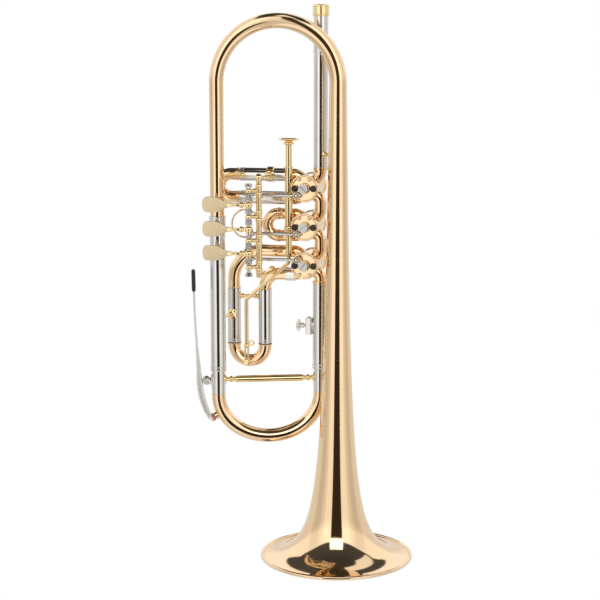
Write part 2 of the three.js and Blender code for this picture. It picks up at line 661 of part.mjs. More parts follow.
// The post with four knuckles for the hinge rod, an arm to the first slide and a foot on the third.
function leverRail() {
  const post = rod(lift(RAIL, 246), lift(RAIL, 327), 2.4);
  const finial = ball(lift(RAIL, 327.1), 3.4);
  const knuckles = RAIL_KNUCKLE_Z.map((z) => join(
    rod(lift(RAIL, z), towards(lift(RAIL, z), lift(HINGE, z), 8), 1.9),
    ring(lift(HINGE, z - 2), lift(HINGE, z + 2), 3, 1.6),
  ));
  const arm = rod(lift(RAIL, 327.1), at(RAIL.x, LINE.y - 5.6 - 1.8, 327.1), 1.9);
  const flange = rod(at(RAIL.x, 4.6, 327.1), at(RAIL.x, LINE.y - 5.6 - GAP, 327.1), 4.2, 12);
  const foot = rod(lift(RAIL, 247.5), at(RAIL.x + 2, LINE.y - 6.4, 248.3), 1.7);
  const sole = rod(at(RAIL.x + 2, LINE.y - 7.5, 248.3), at(RAIL.x + 2, LINE.y - 5.9, 247.3), 3, 10);
  piece('lever_rail', join(post, finial, knuckles, arm, flange, foot, sole), yellow);
}

function leverHingeRod() {
  const shaft = rod(lift(HINGE, 248), lift(HINGE, 321.5), 1.3);
  const head = (from, to) => turned([[0, 0], [2, 0], [3.2, 2.6], [3.2, 4.2], [0, 4.2]], lift(HINGE, from), lift(HINGE, to), 12);
  piece('lever_hinge_rod', join(shaft, head(319.3, 330), head(250.7, 240)), nickel);
}

// Outline of a finger plate: a rounded spatula that narrows towards the hinge.
function fingerPlate(z) {
  const tip = -105.6;
  const half = 6.5;
  const shape = new THREE.Shape();
  shape.moveTo(tip + 4, -half);
  shape.lineTo(tip + 12, -half);
  shape.bezierCurveTo(tip + 17, -half + 0.6, tip + 19, -1.7, tip + 25, -1.6);
  shape.lineTo(tip + 25, 1.6);
  shape.bezierCurveTo(tip + 19, 1.7, tip + 17, half - 0.6, tip + 12, half);
  shape.lineTo(tip + 4, half);
  shape.bezierCurveTo(tip - 1.3, half - 1.5, tip - 1.3, 1.5 - half, tip + 4, -half);
  const geometry = new THREE.ExtrudeGeometry(shape, { depth: 1.4, bevelEnabled: false, curveSegments: 4 });
  geometry.rotateX(Math.PI / 2);
  geometry.translate(0, HINGE.y - 3, z);
  return solid(geometry);
}

// One finger lever: plate, neck, hinge barrel and the crank with the pin that drives the link.
function fingerLever(number, up, armBelow) {
  const z = LEVER_Z[number - 1];
  const link = linkZ(number, up);
  const armZ = armBelow ? link - 5.2 : link + (up > 0 ? 5.1 : 2.9);
  const [low, high] = [Math.min(armZ - 0.9, z - 3), Math.max(armZ + 0.9, z + 3)];
  const barrel = ring(lift(HINGE, low), lift(HINGE, high), 3.3, 1.6);
  const neck = block(at(-82, HINGE.y - 4.4, z - 1.6), at(HINGE.x - 2.2, HINGE.y - 1.4, z + 1.6));
  const pin = leverPin(armZ);
  const crankStart = towards(lift(HINGE, armZ), pin, 2.4);
  const crank = rod(crankStart, pin, 1.15);
  const pinEnd = armBelow ? link + 2.6 : link - (up > 0 ? 2.6 : 4.9);
  const stud = rod(pin, lift(pin, pinEnd), 1.1);
  piece(`finger_lever_${number}`, join(fingerPlate(z), neck, barrel, crank, stud), satin);
}

// A link between a lever's pin and a rotor's crank: an upright eye at one end, a level one at the other.
function link(number, up) {
  const z = linkZ(number, up);
  const start = leverPin(z);
  const end = crankPlace(number, up, LINK_Y);
  const leverEye = ring(lift(start, z - 1.5), lift(start, z + 1.5), 3.3, 2.2);
  const ballEye = ring(at(end.x, LINK_Y - 1.5, z), at(end.x, LINK_Y + 1.4, z), 3.2, 2);
  const shaft = rod(at(start.x + 2.7, LINK_Y, z), at(end.x - 2.6, LINK_Y, z), 1.2);
  piece(`linkage_rod_${number}`, join(leverEye, ballEye, shaft), steel);
}

// The coil spring that returns a lever, closed up on the hinge rod between two knuckles.
function leverSpring(number, low, high) {
  piece(`lever_spring_${number}`, ring(lift(HINGE, low), lift(HINGE, high), 2.9, 1.9), steel);
}

// ---------------------------------------------------------------- stays and lyre holder

// A small stay between two round tubes, with a flange at each end.
function stay(name, from, fromRadius, to, toRadius) {
  const length = from.distanceTo(to) - fromRadius - toRadius - 2 * GAP;
  const flange = Math.min(0.8, length / 5);
  const half = [[0, 0], [2.8, 0], [2.8, flange], [1.4, 2 * flange]];
  const mirrored = half.map(([radius, along]) => [radius, length - along]).reverse();
  const start = towards(from, to, fromRadius + GAP);
  piece(name, turned([...half, ...mirrored], start, to, 10), yellow);
}

function stays() {
  for (const [name, z, radius] of [['upper', 345, LEG_RADIUS], ['lower', 178.8, SLEEVE_RADIUS]]) {
    stay(`bell_stay_${name}`, at(0, 0, z), bellRadius(z), lift(LINE, z), radius);
  }
  const thirdLeft = at(THIRD_LEFT_X, LINE.y, 206.8);
  stay('third_slide_leg_stay', lift(LEG, 206.8), SLEEVE_RADIUS, thirdLeft, 5.95);
  stay('first_slide_leg_stay', lift(LEG, 327.1), LEG_RADIUS, at(-83.5, LINE.y, 327.1), 8.2);
  stay('third_slide_brace', at(THIRD_LEFT_X, LINE.y, 222.3), 5.95, at(THIRD_RIGHT_X, LINE.y, 222.3), 5.95);
}

const LYRE_Z = 198.5;

function lyreHolder() {
  const right = LINE.x - SLEEVE_RADIUS - GAP;
  const body = block(at(right - 5.4, LINE.y - 4, LYRE_Z - 7.3), at(right, LINE.y + 4, LYRE_Z + 7.3));
  const slot = block(at(right - 3.9, LINE.y - 2, LYRE_Z - 9), at(right - 1.5, LINE.y + 2, LYRE_Z + 9));
  const thread = rod(at(right - 7, LINE.y, LYRE_Z), at(right - 3, LINE.y, LYRE_Z), 1.7);
  piece('lyre_socket', body.subtract(join(slot, thread)), nickel);
  const length = 9.5;
  const profile = [[0, 0], [4.8, 0], [4.8, 1.9], [2.2, 2.6], [2.2, 6.2], [1.3, 6.4], [1.3, length], [0, length]];
  piece('lyre_thumbscrew', turned(profile, at(-37.6, LINE.y, LYRE_Z), at(0, LINE.y, LYRE_Z), 14), yellow);
}

// ---------------------------------------------------------------- assembly

bell();
bowFerrule();
mouthpieceReceiver();
leadpipe();
mainSlideSleeves();
mainTuningBow();
mainSlideBrace();
waterKeyPost();
waterKeyLever();
waterKeyPad();
valveKnuckles();
firstSlide();
secondSlide();
thirdSlide();
trigger();
leverRail();
leverHingeRod();

const UP_AT_REST = [-1, -1, 1];
const ARM_BELOW_LINK = [true, false, false];
for (const number of [1, 2, 3]) {
  const up = UP_AT_REST[number - 1];
  valveCasing(number);
  rotor(number);
  frontPlate(number, -up);
  rearCap(number);
  stopArm(number, up);
  fingerLever(number, up, ARM_BELOW_LINK[number - 1]);
  link(number, up);
}
leverSpring(1, 310, 314.2);
leverSpring(2, 289.4, 292.7);
leverSpring(3, 269.3, 273);

stays();
lyreHolder();

export default trumpet;
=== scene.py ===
"""A rotary-valve trumpet standing on its bell: the finished pieces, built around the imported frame.

Shapes are worked out in millimetres and become metres when a piece is made. X, Y and Z are the frame's:
the bell is on the +X side, the finger levers face -Y, and the mouthpiece receiver points up.
"""
import math

import bmesh
import bpy
import numpy as np
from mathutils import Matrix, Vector


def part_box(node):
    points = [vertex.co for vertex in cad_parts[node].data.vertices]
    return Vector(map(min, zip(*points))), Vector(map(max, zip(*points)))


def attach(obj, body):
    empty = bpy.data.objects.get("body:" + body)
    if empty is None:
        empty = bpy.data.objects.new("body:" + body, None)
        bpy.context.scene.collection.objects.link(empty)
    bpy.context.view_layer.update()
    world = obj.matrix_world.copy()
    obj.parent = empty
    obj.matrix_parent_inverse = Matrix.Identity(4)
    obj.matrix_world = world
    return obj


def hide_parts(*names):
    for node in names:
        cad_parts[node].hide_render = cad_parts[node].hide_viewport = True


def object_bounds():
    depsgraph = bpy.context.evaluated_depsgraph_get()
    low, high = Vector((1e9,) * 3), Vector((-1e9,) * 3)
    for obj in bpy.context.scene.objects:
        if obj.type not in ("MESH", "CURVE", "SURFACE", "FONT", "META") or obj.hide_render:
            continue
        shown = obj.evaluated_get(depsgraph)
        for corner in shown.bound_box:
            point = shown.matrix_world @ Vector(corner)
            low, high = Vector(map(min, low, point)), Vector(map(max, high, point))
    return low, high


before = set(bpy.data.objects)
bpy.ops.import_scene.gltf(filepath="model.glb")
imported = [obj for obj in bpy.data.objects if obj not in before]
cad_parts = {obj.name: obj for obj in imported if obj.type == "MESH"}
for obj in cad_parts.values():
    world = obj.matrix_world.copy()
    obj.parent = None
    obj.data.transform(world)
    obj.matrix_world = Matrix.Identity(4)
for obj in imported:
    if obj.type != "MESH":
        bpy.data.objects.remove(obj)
cad_low, cad_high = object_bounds()

MM = 0.001
UP = Vector((0, 0, 1))
FRONT = Vector((0, -1, 0))
BACK = Vector((0, 1, 0))
RIGHT = Vector((1, 0, 0))


# ---------------------------------------------------------------- places, read from the frame

def box(node):
    """Lowest and highest corner of a CAD node, in millimetres."""
    low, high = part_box(node)
    return low / MM, high / MM


def middle(node):
    low, high = box(node)
    return (low + high) / 2


def lift(axis, z):
    """The same upright axis at another height."""
    return Vector((axis.x, axis.y, z))


def at_depth(axis, y):
    """The same level axis at another depth."""
    return Vector((axis.x, y, axis.z))


def towards(start, end, distance):
    return start + (end - start).normalized() * distance


BELL_LOW, BELL_HIGH = box("bell")
RIM_RADIUS = (BELL_HIGH.y - BELL_LOW.y) / 2
BELL = Vector((BELL_HIGH.x - RIM_RADIUS, (BELL_LOW.y + BELL_HIGH.y) / 2, 0))
LEG = lift(middle("bow_ferrule"), 0)
LINE = lift(middle("mouthpiece_receiver"), 0)
OUT = (LEG - LINE).normalized()
SIDEWAYS = OUT.cross(UP)
HINGE = lift(middle("lever_hinge_rod"), 0)
RAIL = HINGE + Vector((6.7, 8, 0))
TRIGGER = lift(middle("trigger_plunger"), 0)
VALVES = {number: middle(f"valve_casing_{number}") for number in (1, 2, 3)}
NUMBERS = sorted(VALVES)

LEG_RADIUS = 5.95
SLEEVE_RADIUS = 6.5
INNER_LEG_RADIUS = 5.85
KNUCKLE_RADIUS = 5.1
CASING_RADIUS = 11
SLIDE_OFFSET = 9.8
SECOND_OFFSET = 9.4
BOW_SPAN = (LEG - BELL).length
BELL_TOP = BELL_HIGH.z - BOW_SPAN / 2 - 6.4
BELL_THROAT = 6.2
BELL_DRAW = 0.9


# ---------------------------------------------------------------- shapes

class Shape:
    """Closed skins in millimetres that together become one mesh."""

    def __init__(self):
        self.points = []
        self.faces = []
        self.count = 0

    def skin(self, rings, looped=False):
        """Joins rings of equally many points, and closes both ends unless it is looped."""
        rings = np.asarray(rings, float)
        stations, sides, _ = rings.shape
        first = self.count
        index = first + np.arange(stations * sides).reshape(stations, sides)
        turned_on = np.roll(index, -1, axis=1)
        pairs = [(i, i + 1) for i in range(stations - 1)]
        if looped:
            pairs.append((stations - 1, 0))
        for i, j in pairs:
            quads = np.stack([index[i], turned_on[i], turned_on[j], index[j]], axis=1)
            self.faces.extend(quads.tolist())
        if not looped:
            self.faces.append(index[0][::-1].tolist())
            self.faces.append(index[-1].tolist())
        self.points.append(rings.reshape(-1, 3))
        self.count += stations * sides


def rounded(profile, size, closed=False, steps=4):
    """The profile with its corners turned into rounds that start up to this far from the corner."""
    points = [Vector(p) for p in profile]
    out = []
    for i, corner in enumerate(points):
        if not closed and i in (0, len(points) - 1):
            out.append(corner)
            continue
        back = points[i - 1] - corner
        onward = points[(i + 1) % len(points)] - corner
        start = corner + back.normalized() * min(size, back.length * 0.45)
        end = corner + onward.normalized() * min(size, onward.length * 0.45)
        for k in range(steps + 1):
            share = k / steps
            out.append(start * (1 - share) ** 2 + corner * (2 * share * (1 - share)) + end * share ** 2)
    return [tuple(p) for p in out]


def square_to(axis):
    """Two directions square to an axis and to each other."""
    near = UP if abs(axis.z) < 0.9 else RIGHT
    side = (near - axis * near.dot(axis)).normalized()
    return side, axis.cross(side)


def lathe(shape, profile, start, direction, sides=48, closed=False, flutes=0, depth=0.0, band=None):
    """Turns a profile of (radius, distance along the axis). Flutes cut a knurl into the band of distances."""
    axis = direction.normalized()
    side, other = (np.array(v) for v in square_to(axis))
    angle = np.linspace(0, 2 * math.pi, sides, endpoint=False)
    spokes = np.cos(angle)[:, None] * side + np.sin(angle)[:, None] * other
    ripple = depth * (0.5 + 0.5 * np.cos(angle * flutes))
    rings = []
    for radius, along in profile:
        cut = band is not None and band[0] <= along <= band[1] and radius > depth * 3
        lengths = radius - ripple if cut else np.full(sides, radius)
        rings.append(np.array(start + axis * along) + spokes * lengths[:, None])
    shape.skin(rings, looped=closed)


def rod(shape, start, end, radius, end_radius=None, edge=0.3, sides=32):
    """A solid round bar with softened ends."""
    far = radius if end_radius is None else end_radius
    length = (end - start).length
    profile = rounded([(0, 0), (radius, 0), (far, length), (0, length)], edge)
    lathe(shape, profile, start, end - start, sides)


def ring(shape, start, end, outer, inner, edge=0.25, sides=64):
    """A hollow bush with softened edges."""
    length = (end - start).length
    profile = rounded([(inner, 0), (outer, 0), (outer, length), (inner, length)], edge, closed=True)
    lathe(shape, profile, start, end - start, sides, closed=True)


def ball(shape, centre, radius, sides=32):
    half = sides // 2
    profile = [(radius * math.sin(math.pi * k / half), -radius * math.cos(math.pi * k / half))
               for k in range(half + 1)]
    lathe(shape, profile, centre, UP, sides)


def dome(shape, start, direction, radius, height, rise, sides=32):
    """An upright stud with a rounded top."""
    steps = 6
    top = [(radius * math.cos(math.pi / 2 * k / steps), height + rise * math.sin(math.pi / 2 * k / steps))
           for k in range(steps + 1)]
    lathe(shape, [(0, 0), (radius, 0)] + top, start, direction, sides)


def route(corners, bend, steps=12):
    """Stations along straight runs that are joined by round bends."""
    stations = [corners[0]]
    for before, corner, after in zip(corners, corners[1:], corners[2:]):
        back = (before - corner).normalized()
        onward = (after - corner).normalized()
        half = back.angle(onward) / 2
        centre = corner + (back + onward).normalized() * (bend / math.sin(half))
        spoke = corner + back * (bend / math.tan(half)) - centre
        axis = onward.cross(back).normalized()
        across = axis.cross(spoke)
        for k in range(steps + 1):
            turn = (math.pi - 2 * half) * k / steps
            stations.append(centre + spoke * math.cos(turn) + across * math.sin(turn))
    stations.append(corners[-1])
    return [p for i, p in enumerate(stations) if i == 0 or (p - stations[i - 1]).length > 0.01]


def spokes_along(stations, sides, side=None):
    """For each station, unit spokes square to the path, carried along it without a twist."""
    angle = np.linspace(0, 2 * math.pi, sides, endpoint=False)
    out = []
    last = len(stations) - 1
    for i, centre in enumerate(stations):
        ahead = stations[min(i + 1, last)] - centre
        behind = centre - stations[max(i - 1, 0)]
        tangent = (ahead.normalized() + behind.normalized()).normalized()
        side = square_to(tangent)[0] if side is None else (side - tangent * side.dot(tangent)).normalized()
        other = tangent.cross(side)
        out.append(np.cos(angle)[:, None] * np.array(side) + np.sin(angle)[:, None] * np.array(other))
    return out


def pipe(shape, stations, radius, wall=None, sides=48):
    """A round bar through the stations, or a tube where it has a wall. The radius may be a list."""
    radii = [radius] * len(stations) if isinstance(radius, (int, float)) else radius
    spokes = spokes_along(stations, sides)
    outside = [np.array(p) + s * r for p, s, r in zip(stations, spokes, radii)]
    if wall is None:
        shape.skin(outside)
        return
    inside = [np.array(p) + s * (r - wall) for p, s, r in zip(stations, spokes, radii)]
    shape.skin(outside + inside[::-1], looped=True)


def ribbon(shape, stations, widths, depths, side, sides=24):
    """A bar of rounded oblong section. Widths lie along the given side, and depths square to it."""
    angle = np.linspace(0, 2 * math.pi, sides, endpoint=False)
    c, s = np.cos(angle), np.sin(angle)
    blunt = 0.5
    across = np.sign(c) * np.abs(c) ** blunt
    through = np.sign(s) * np.abs(s) ** blunt
    rings = []
    last = len(stations) - 1
    for i, centre in enumerate(stations):
        tangent = (stations[min(i + 1, last)] - stations[max(i - 1, 0)]).normalized()
        normal = tangent.cross(side).normalized()
        rings.append(np.array(centre) + across[:, None] * np.array(side) * widths[i] / 2
                     + through[:, None] * np.array(normal) * depths[i] / 2)
    shape.skin(rings)


def slab(shape, outline, origin, across, up, thickness, edge=0.3, crown=0.0):
    """A flat part: an outline of (across, up) points, thickened along across x up, with rounded edges.
    A crown raises the middle of its outer face."""
    points = np.array(outline, float)
    along = np.roll(points, -1, axis=0) - np.roll(points, 1, axis=0)
    along /= np.linalg.norm(along, axis=1)[:, None]
    outward = np.stack([along[:, 1], -along[:, 0]], axis=1)
    area = np.sum(points[:, 0] * np.roll(points[:, 1], -1) - np.roll(points[:, 0], -1) * points[:, 1])
    if area < 0:
        outward = -outward
    u, v, w = np.array(across), np.array(up), np.array(across.cross(up))
    centre = points.mean(axis=0)

    def level(flat, height):
        return np.array(origin) + flat[:, :1] * u + flat[:, 1:] * v + height * w

    steps = 5
    rings = []
    for k in range(steps + 1):
        turn = math.pi / 2 * k / steps
        rings.append(level(points - outward * edge * (1 - math.sin(turn)), edge * (1 - math.cos(turn))))
    for k in range(steps + 1):
        turn = math.pi / 2 * k / steps
        rings.append(level(points - outward * edge * (1 - math.cos(turn)),
                           thickness - edge * (1 - math.sin(turn))))
    if crown:
        inner = points - outward * edge
        for share in (0.92, 0.8, 0.64, 0.46, 0.26):
            rings.append(level(centre + (inner - centre) * share, thickness + crown * (1 - share ** 2)))
    shape.skin(rings)


def coil(shape, axis, low, high, radius, wire, pitch):
    """A spring wound about an upright axis."""
    turns = (high - low) / pitch
    steps = max(8, int(turns * 20))
    stations = []
    for k in range(steps + 1):
        turn = 2 * math.pi * turns * k / steps
        level = low + (high - low) * k / steps
        stations.append(Vector((axis.x + radius * math.cos(turn), axis.y + radius * math.sin(turn), level)))
    pipe(shape, stations, wire, sides=10)


def saddle(shape, centre, axis, out, tube, spread, neck, height, tall=None):
    """A foot soldered to a tube. It hugs the tube, and rises in a hollow curve to a round neck."""
    sideways = axis.cross(out)
    tall = spread if tall is None else tall
    angle = np.linspace(0, 2 * math.pi, 40, endpoint=False)
    sole = -0.2
    sizes = [(spread * part, tall * part, sole) for part in (0.05, 0.4, 0.7, 0.9)]
    hollow = [(0, sole), (0, 0.15), (0.05, 0.4), (0.15, 0.5), (0.35, 0.6), (0.6, 0.75), (0.8, 0.95),
              (0.92, 1.3), (0.98, 1.8), (1, height)]
    for share, rise in hollow:
        sizes.append((spread + (neck - spread) * share, tall + (neck - tall) * share, min(rise, height)))
    rings = []
    for reach_v, reach_u, rise in sizes:
        points = []
        for a in angle:
            turn = reach_v * math.sin(a) / tube
            radial = out * math.cos(turn) + sideways * math.sin(turn)
            points.append(np.array(centre + axis * (reach_u * math.cos(a)) + radial * (tube + rise)))
        rings.append(points)
    shape.skin(rings)


def stay(shape, start, end, start_tube, end_tube, neck=1.4, spread=2.9, end_spread=None, swell=0.0):
    """A short stay between two upright tubes, with a foot on each and, where it swells, a thicker middle."""
    out = (end - start).normalized()
    saddle(shape, start, UP, out, start_tube, spread, neck, 1.9)
    saddle(shape, end, UP, -out, end_tube, end_spread or spread, neck, 1.9)
    near = start + out * (start_tube + 1.2)
    far = end - out * (end_tube + 1.2)
    length = (far - near).length
    profile = [(0, 0), (neck, 0), (neck * 0.8, length * 0.3)]
    if swell:
        profile += [(swell, length * 0.42), (swell, length * 0.58)]
    profile += [(neck * 0.8, length * 0.7), (neck, length), (0, length)]
    lathe(shape, rounded(profile, 0.6), near, out, 32)


def slotted_head(shape, centre, direction, radius, height, turn):
    """A screw's head with a straight slot across it."""
    axis = direction.normalized()
    side, other = square_to(axis)
    across = side * math.cos(turn) + other * math.sin(turn)
    up = axis.cross(across)
    floor = height * 0.45
    rod(shape, centre, centre + axis * floor, radius, edge=0.2, sides=48)
    half_slot = 0.42
    start = math.asin(half_slot / radius)
    for sign in (1, -1):
        outline = []
        for k in range(25):
            angle = start + (math.pi - 2 * start) * k / 24
            outline.append((radius * math.cos(angle), sign * radius * math.sin(angle)))
        if sign < 0:
            outline.reverse()
        slab(shape, outline, centre + axis * (floor - 0.2), across, up, height - floor + 0.2, edge=0.18)


# ---------------------------------------------------------------- finishes

def node(tree, kind, inputs=None, **settings):
    made = tree.nodes.new("ShaderNode" + kind)
    for key, value in settings.items():
        setattr(made, key, value)
    for key, value in (inputs or {}).items():
        if isinstance(value, bpy.types.NodeSocket):
            tree.links.new(value, made.inputs[key])
        else:
            made.inputs[key].default_value = value
    return made


def blank_material(name):
    material = bpy.data.materials.new(name)
    material.use_nodes = True
    material.node_tree.nodes.clear()
    return material, material.node_tree


def mixed(tree, share, first, second):
    """A colour between two, by a socket."""
    return node(tree, "Mix", {0: share, 6: (*first, 1), 7: (*second, 1)}, data_type="RGBA").outputs[2]


def scaled(tree, socket, gain, base):
    return node(tree, "Math", {0: socket, 1: gain, 2: base}, operation="MULTIPLY_ADD").outputs[0]


def finish_material(tree, shader):
    out = node(tree, "OutputMaterial")
    tree.links.new(shader.outputs[0], out.inputs["Surface"])


def noise(tree, place, scale, detail, **inputs):
    return node(tree, "TexNoise", {"Vector": place, "Scale": scale, "Detail": detail, **inputs}).outputs[0]


def metal(name, bright, deep, roughness, wander, grain, coat=0.0, waves=0.00003, scratches=0.0):
    """A metal whose tone drifts between two colours over a few centimetres, with marks and fine grain."""
    material, tree = blank_material(name)
    place = node(tree, "TexCoord").outputs["Object"]
    cloud = noise(tree, place, 38.0, 4.0, Roughness=0.6)
    speck = noise(tree, place, 1500.0, 2.0)
    stretched = node(tree, "Mapping", {"Vector": place, "Scale": (260.0, 260.0, 4200.0)}).outputs[0]
    lines = noise(tree, stretched, 1.0, 1.0)
    tone = mixed(tree, cloud, bright, deep)
    rough = scaled(tree, cloud, wander, roughness - wander / 2)
    rough = scaled(tree, speck, grain, rough)
    rough = scaled(tree, lines, scratches, rough)
    soft = node(tree, "Bump", {"Strength": 1.0, "Distance": waves, "Height": cloud}).outputs[0]
    cut = waves * 0.02 + scratches * 0.00001
    fine = node(tree, "Bump", {"Strength": 0.5, "Distance": cut, "Height": lines, "Normal": soft}).outputs[0]
    surface = node(tree, "BsdfPrincipled", {"Base Color": tone, "Metallic": 1.0, "Roughness": rough,
                                            "Normal": fine, "Coat Weight": coat, "Coat Roughness": 0.03})
    finish_material(tree, surface)
    return material


def matt(name, bright, deep, roughness, scale, depth):
    """A soft dull material, speckled between two colours, with a fine uneven surface."""
    material, tree = blank_material(name)
    place = node(tree, "TexCoord").outputs["Object"]
    speck = noise(tree, place, scale, 5.0, Roughness=0.7)
    tone = mixed(tree, speck, deep, bright)
    rough = scaled(tree, speck, 0.15, roughness - 0.07)
    bump = node(tree, "Bump", {"Strength": 0.6, "Distance": depth, "Height": speck}).outputs[0]
    surface = node(tree, "BsdfPrincipled", {"Base Color": tone, "Roughness": rough, "Normal": bump})
    finish_material(tree, surface)
    return material


GOLD = metal("lacquered_gold_brass", (0.95, 0.705, 0.45), (0.90, 0.64, 0.38), 0.075, 0.02, 0.0, coat=0.2)
YELLOW = metal("lacquered_yellow_brass", (0.95, 0.76, 0.44), (0.89, 0.66, 0.32), 0.10, 0.04, 0.01, coat=0.2)
NICKEL = metal("nickel_silver", (0.80, 0.775, 0.745), (0.70, 0.675, 0.645), 0.10, 0.04, 0.01, scratches=0.01)
PALE = metal("satin_nickel_silver", (0.90, 0.875, 0.81), (0.82, 0.79, 0.72), 0.40, 0.08, 0.05, scratches=0.05)
STEEL = metal("steel", (0.66, 0.65, 0.64), (0.52, 0.51, 0.50), 0.2, 0.08, 0.05, scratches=0.04)
SATIN = metal("satin_brass", (0.81, 0.665, 0.435), (0.765, 0.62, 0.395), 0.46, 0.1, 0.08, scratches=0.08)
RUBBER = matt("black_rubber", (0.03, 0.03, 0.032), (0.012, 0.012, 0.013), 0.5, 1800.0, 0.00003)
# Painted shade: a dark red matt colour for the rings in the third slide's joints, standing in for the shade
# between the bow's mouths and the sleeves.
JOINT_SHADE = matt("painted_joint_shade", (0.16, 0.045, 0.04), (0.08, 0.02, 0.02), 0.9, 1500.0, 0.0001)
CORK = matt("cork_and_felt", (0.62, 0.26, 0.15), (0.30, 0.10, 0.06), 0.85, 900.0, 0.0002)


SHARP = math.radians(32)


def make(name, shape, material, body="root", stands_for=None):
    """Turns a shape into a piece that rides on a body. It may stand for a node of the frame."""
    mesh = bpy.data.meshes.new(name)
    points = np.concatenate(shape.points) * MM
    mesh.from_pydata(points.tolist(), [], shape.faces)
    work = bmesh.new()
    work.from_mesh(mesh)
    bmesh.ops.remove_doubles(work, verts=work.verts, dist=1e-6)
    bmesh.ops.recalc_face_normals(work, faces=work.faces)
    work.to_mesh(mesh)
    work.free()
    mesh.polygons.foreach_set("use_smooth", [True] * len(mesh.polygons))
    mesh.set_sharp_from_angle(angle=SHARP)
    mesh.materials.append(material)
    piece = bpy.data.objects.new(name, mesh)
    bpy.context.scene.collection.objects.link(piece)
    even = piece.modifiers.new("even_normals", "WEIGHTED_NORMAL")
    even.keep_sharp = True
    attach(piece, body)
    if stands_for:
        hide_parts(stands_for)


# ---------------------------------------------------------------- bell and bell bow

def bell_radius(z):
    return RIM_RADIUS * math.sqrt(BELL_THROAT / (z + BELL_THROAT)) - BELL_DRAW * (z / BELL_TOP) ** 2


def flare_profile():
    """The outside of the bell as (radius, height), from the top of the stem to the rim's bead."""
    low = 6.0
    steps = 76
    points = []
    for k in range(steps + 1):
        z = low + (BELL_TOP - low) * (1 - k / steps) ** 2.2
        points.append((bell_radius(z), z))
    start = Vector(points[-1])
    end = Vector((RIM_RADIUS - 3.0, 2.15))
    leave = Vector((start.x - bell_radius(low + 0.1), -0.1)).normalized() * (end - start).length
    arrive = Vector((1, -0.1)).normalized() * (end - start).length
    steps = 14
    for k in range(1, steps + 1):
        t = k / steps
        points.append(tuple(start * (2 * t ** 3 - 3 * t ** 2 + 1) + leave * (t ** 3 - 2 * t ** 2 + t)
                            + end * (3 * t ** 2 - 2 * t ** 3) + arrive * (t ** 3 - t ** 2)))
    return points


def bell():
    """One drawn tube: up the leg, over the bow, and down to the flare and its rolled rim."""
    wall = 0.7
    bead = 1.6
    sides = 144
    foot = middle("bow_ferrule").z
    top = BELL_TOP + BOW_SPAN / 2
    corners = [lift(LEG, foot), lift(LEG, top), lift(BELL, top), lift(BELL, BELL_TOP)]
    stations = route(corners, BOW_SPAN / 2, 48)
    lengths = [0]
    for before, after in zip(stations, stations[1:]):
        lengths.append(lengths[-1] + (after - before).length)
    straight = BELL_TOP - foot
    end = bell_radius(BELL_TOP)
    radii = []
    for length in lengths:
        share = max(0, (length - straight) / (lengths[-1] - straight))
        radii.append(LEG_RADIUS + (end - LEG_RADIUS) * share ** 1.3)
    spokes = spokes_along(stations, sides)
    outside = [np.array(p) + s * r for p, s, r in zip(stations, spokes, radii)]
    inside = [np.array(p) + s * (r - wall) for p, s, r in zip(stations, spokes, radii)]

    level = spokes[-1] * (1, 1, 0)
    level = level / np.linalg.norm(level, axis=1, keepdims=True)

    def turned(points):
        return [np.array(lift(BELL, z)) + level * r for r, z in points]

    flare = flare_profile()[1:]
    bead_points = []
    for k in range(25):
        turn = math.radians(140 - 280 * k / 24)
        bead_points.append((RIM_RADIUS - bead + bead * math.cos(turn), bead + bead * math.sin(turn)))
    lining = []
    for i, (r, z) in enumerate(flare):
        before, after = flare[max(i - 1, 0)], flare[min(i + 1, len(flare) - 1)]
        along = Vector((after[0] - before[0], after[1] - before[1])).normalized()
        lining.append((r + along.y * wall, z - along.x * wall))
    shape = Shape()
    rings = outside + turned(flare) + turned(bead_points) + turned(lining[::-1]) + inside[::-1]
    shape.skin(rings, looped=True)
    make("bell_and_bow", shape, GOLD, stands_for="bell")


def bow_ferrule():
    low, high = box("bow_ferrule")
    height = high.z - low.z
    shape = Shape()
    profile = [(6.2, 0), (7.3, 0), (7.3, 1.4), (6.8, 2), (6.8, height - 2), (7.3, height - 1.4),
               (7.3, height), (6.2, height)]
    lathe(shape, rounded(profile, 0.35, closed=True), lift(LEG, low.z), UP, 72, closed=True)
    make("bow_ferrule_band", shape, NICKEL, stands_for="bow_ferrule")


# ---------------------------------------------------------------- leadpipe and main tuning slide

def receiver():
    low, high = box("mouthpiece_receiver")
    ring_height = 9.7
    bore = 5.0
    base = high.z - ring_height
    sleeve = Shape()
    profile = [(bore, 0), (6.2, 0), (6.2, base - low.z + 1), (bore, base - low.z + 1)]
    lathe(sleeve, rounded(profile, 0.3, closed=True), lift(LINE, low.z), UP, 72, closed=True)
    make("receiver_sleeve", sleeve, NICKEL, stands_for="mouthpiece_receiver")
    mouth = Shape()
    profile = [(bore + 0.4, 0), (6.6, 0), (7, 0.5), (7, 1.3), (6.7, 1.5), (7, 1.7), (7, ring_height - 2.2),
               (6.75, ring_height - 2), (7, ring_height - 1.8), (7, ring_height - 0.8),
               (6.4, ring_height), (5.6, ring_height), (bore, ring_height - 1)]
    lathe(mouth, rounded(profile, 0.25, closed=True), lift(LINE, base), UP, 96, closed=True)
    make("receiver_ring", mouth, YELLOW)


def port(number, degrees, distance):
    """A place in the tubing's plane, at an angle from +X towards +Z about a valve's axis."""
    angle = math.radians(degrees)
    axis = VALVES[number]
    return Vector((axis.x + distance * math.cos(angle), LINE.y, axis.z + distance * math.sin(angle)))


def port_corner(number, degrees, offset):
    return port(number, degrees, offset * math.sqrt(2))


def line_corner(number, degrees):
    return port_corner(number, degrees, LINE.x - VALVES[number].x)


PORT_MOUTH = 9.2
KNUCKLE_BEND = 6.8


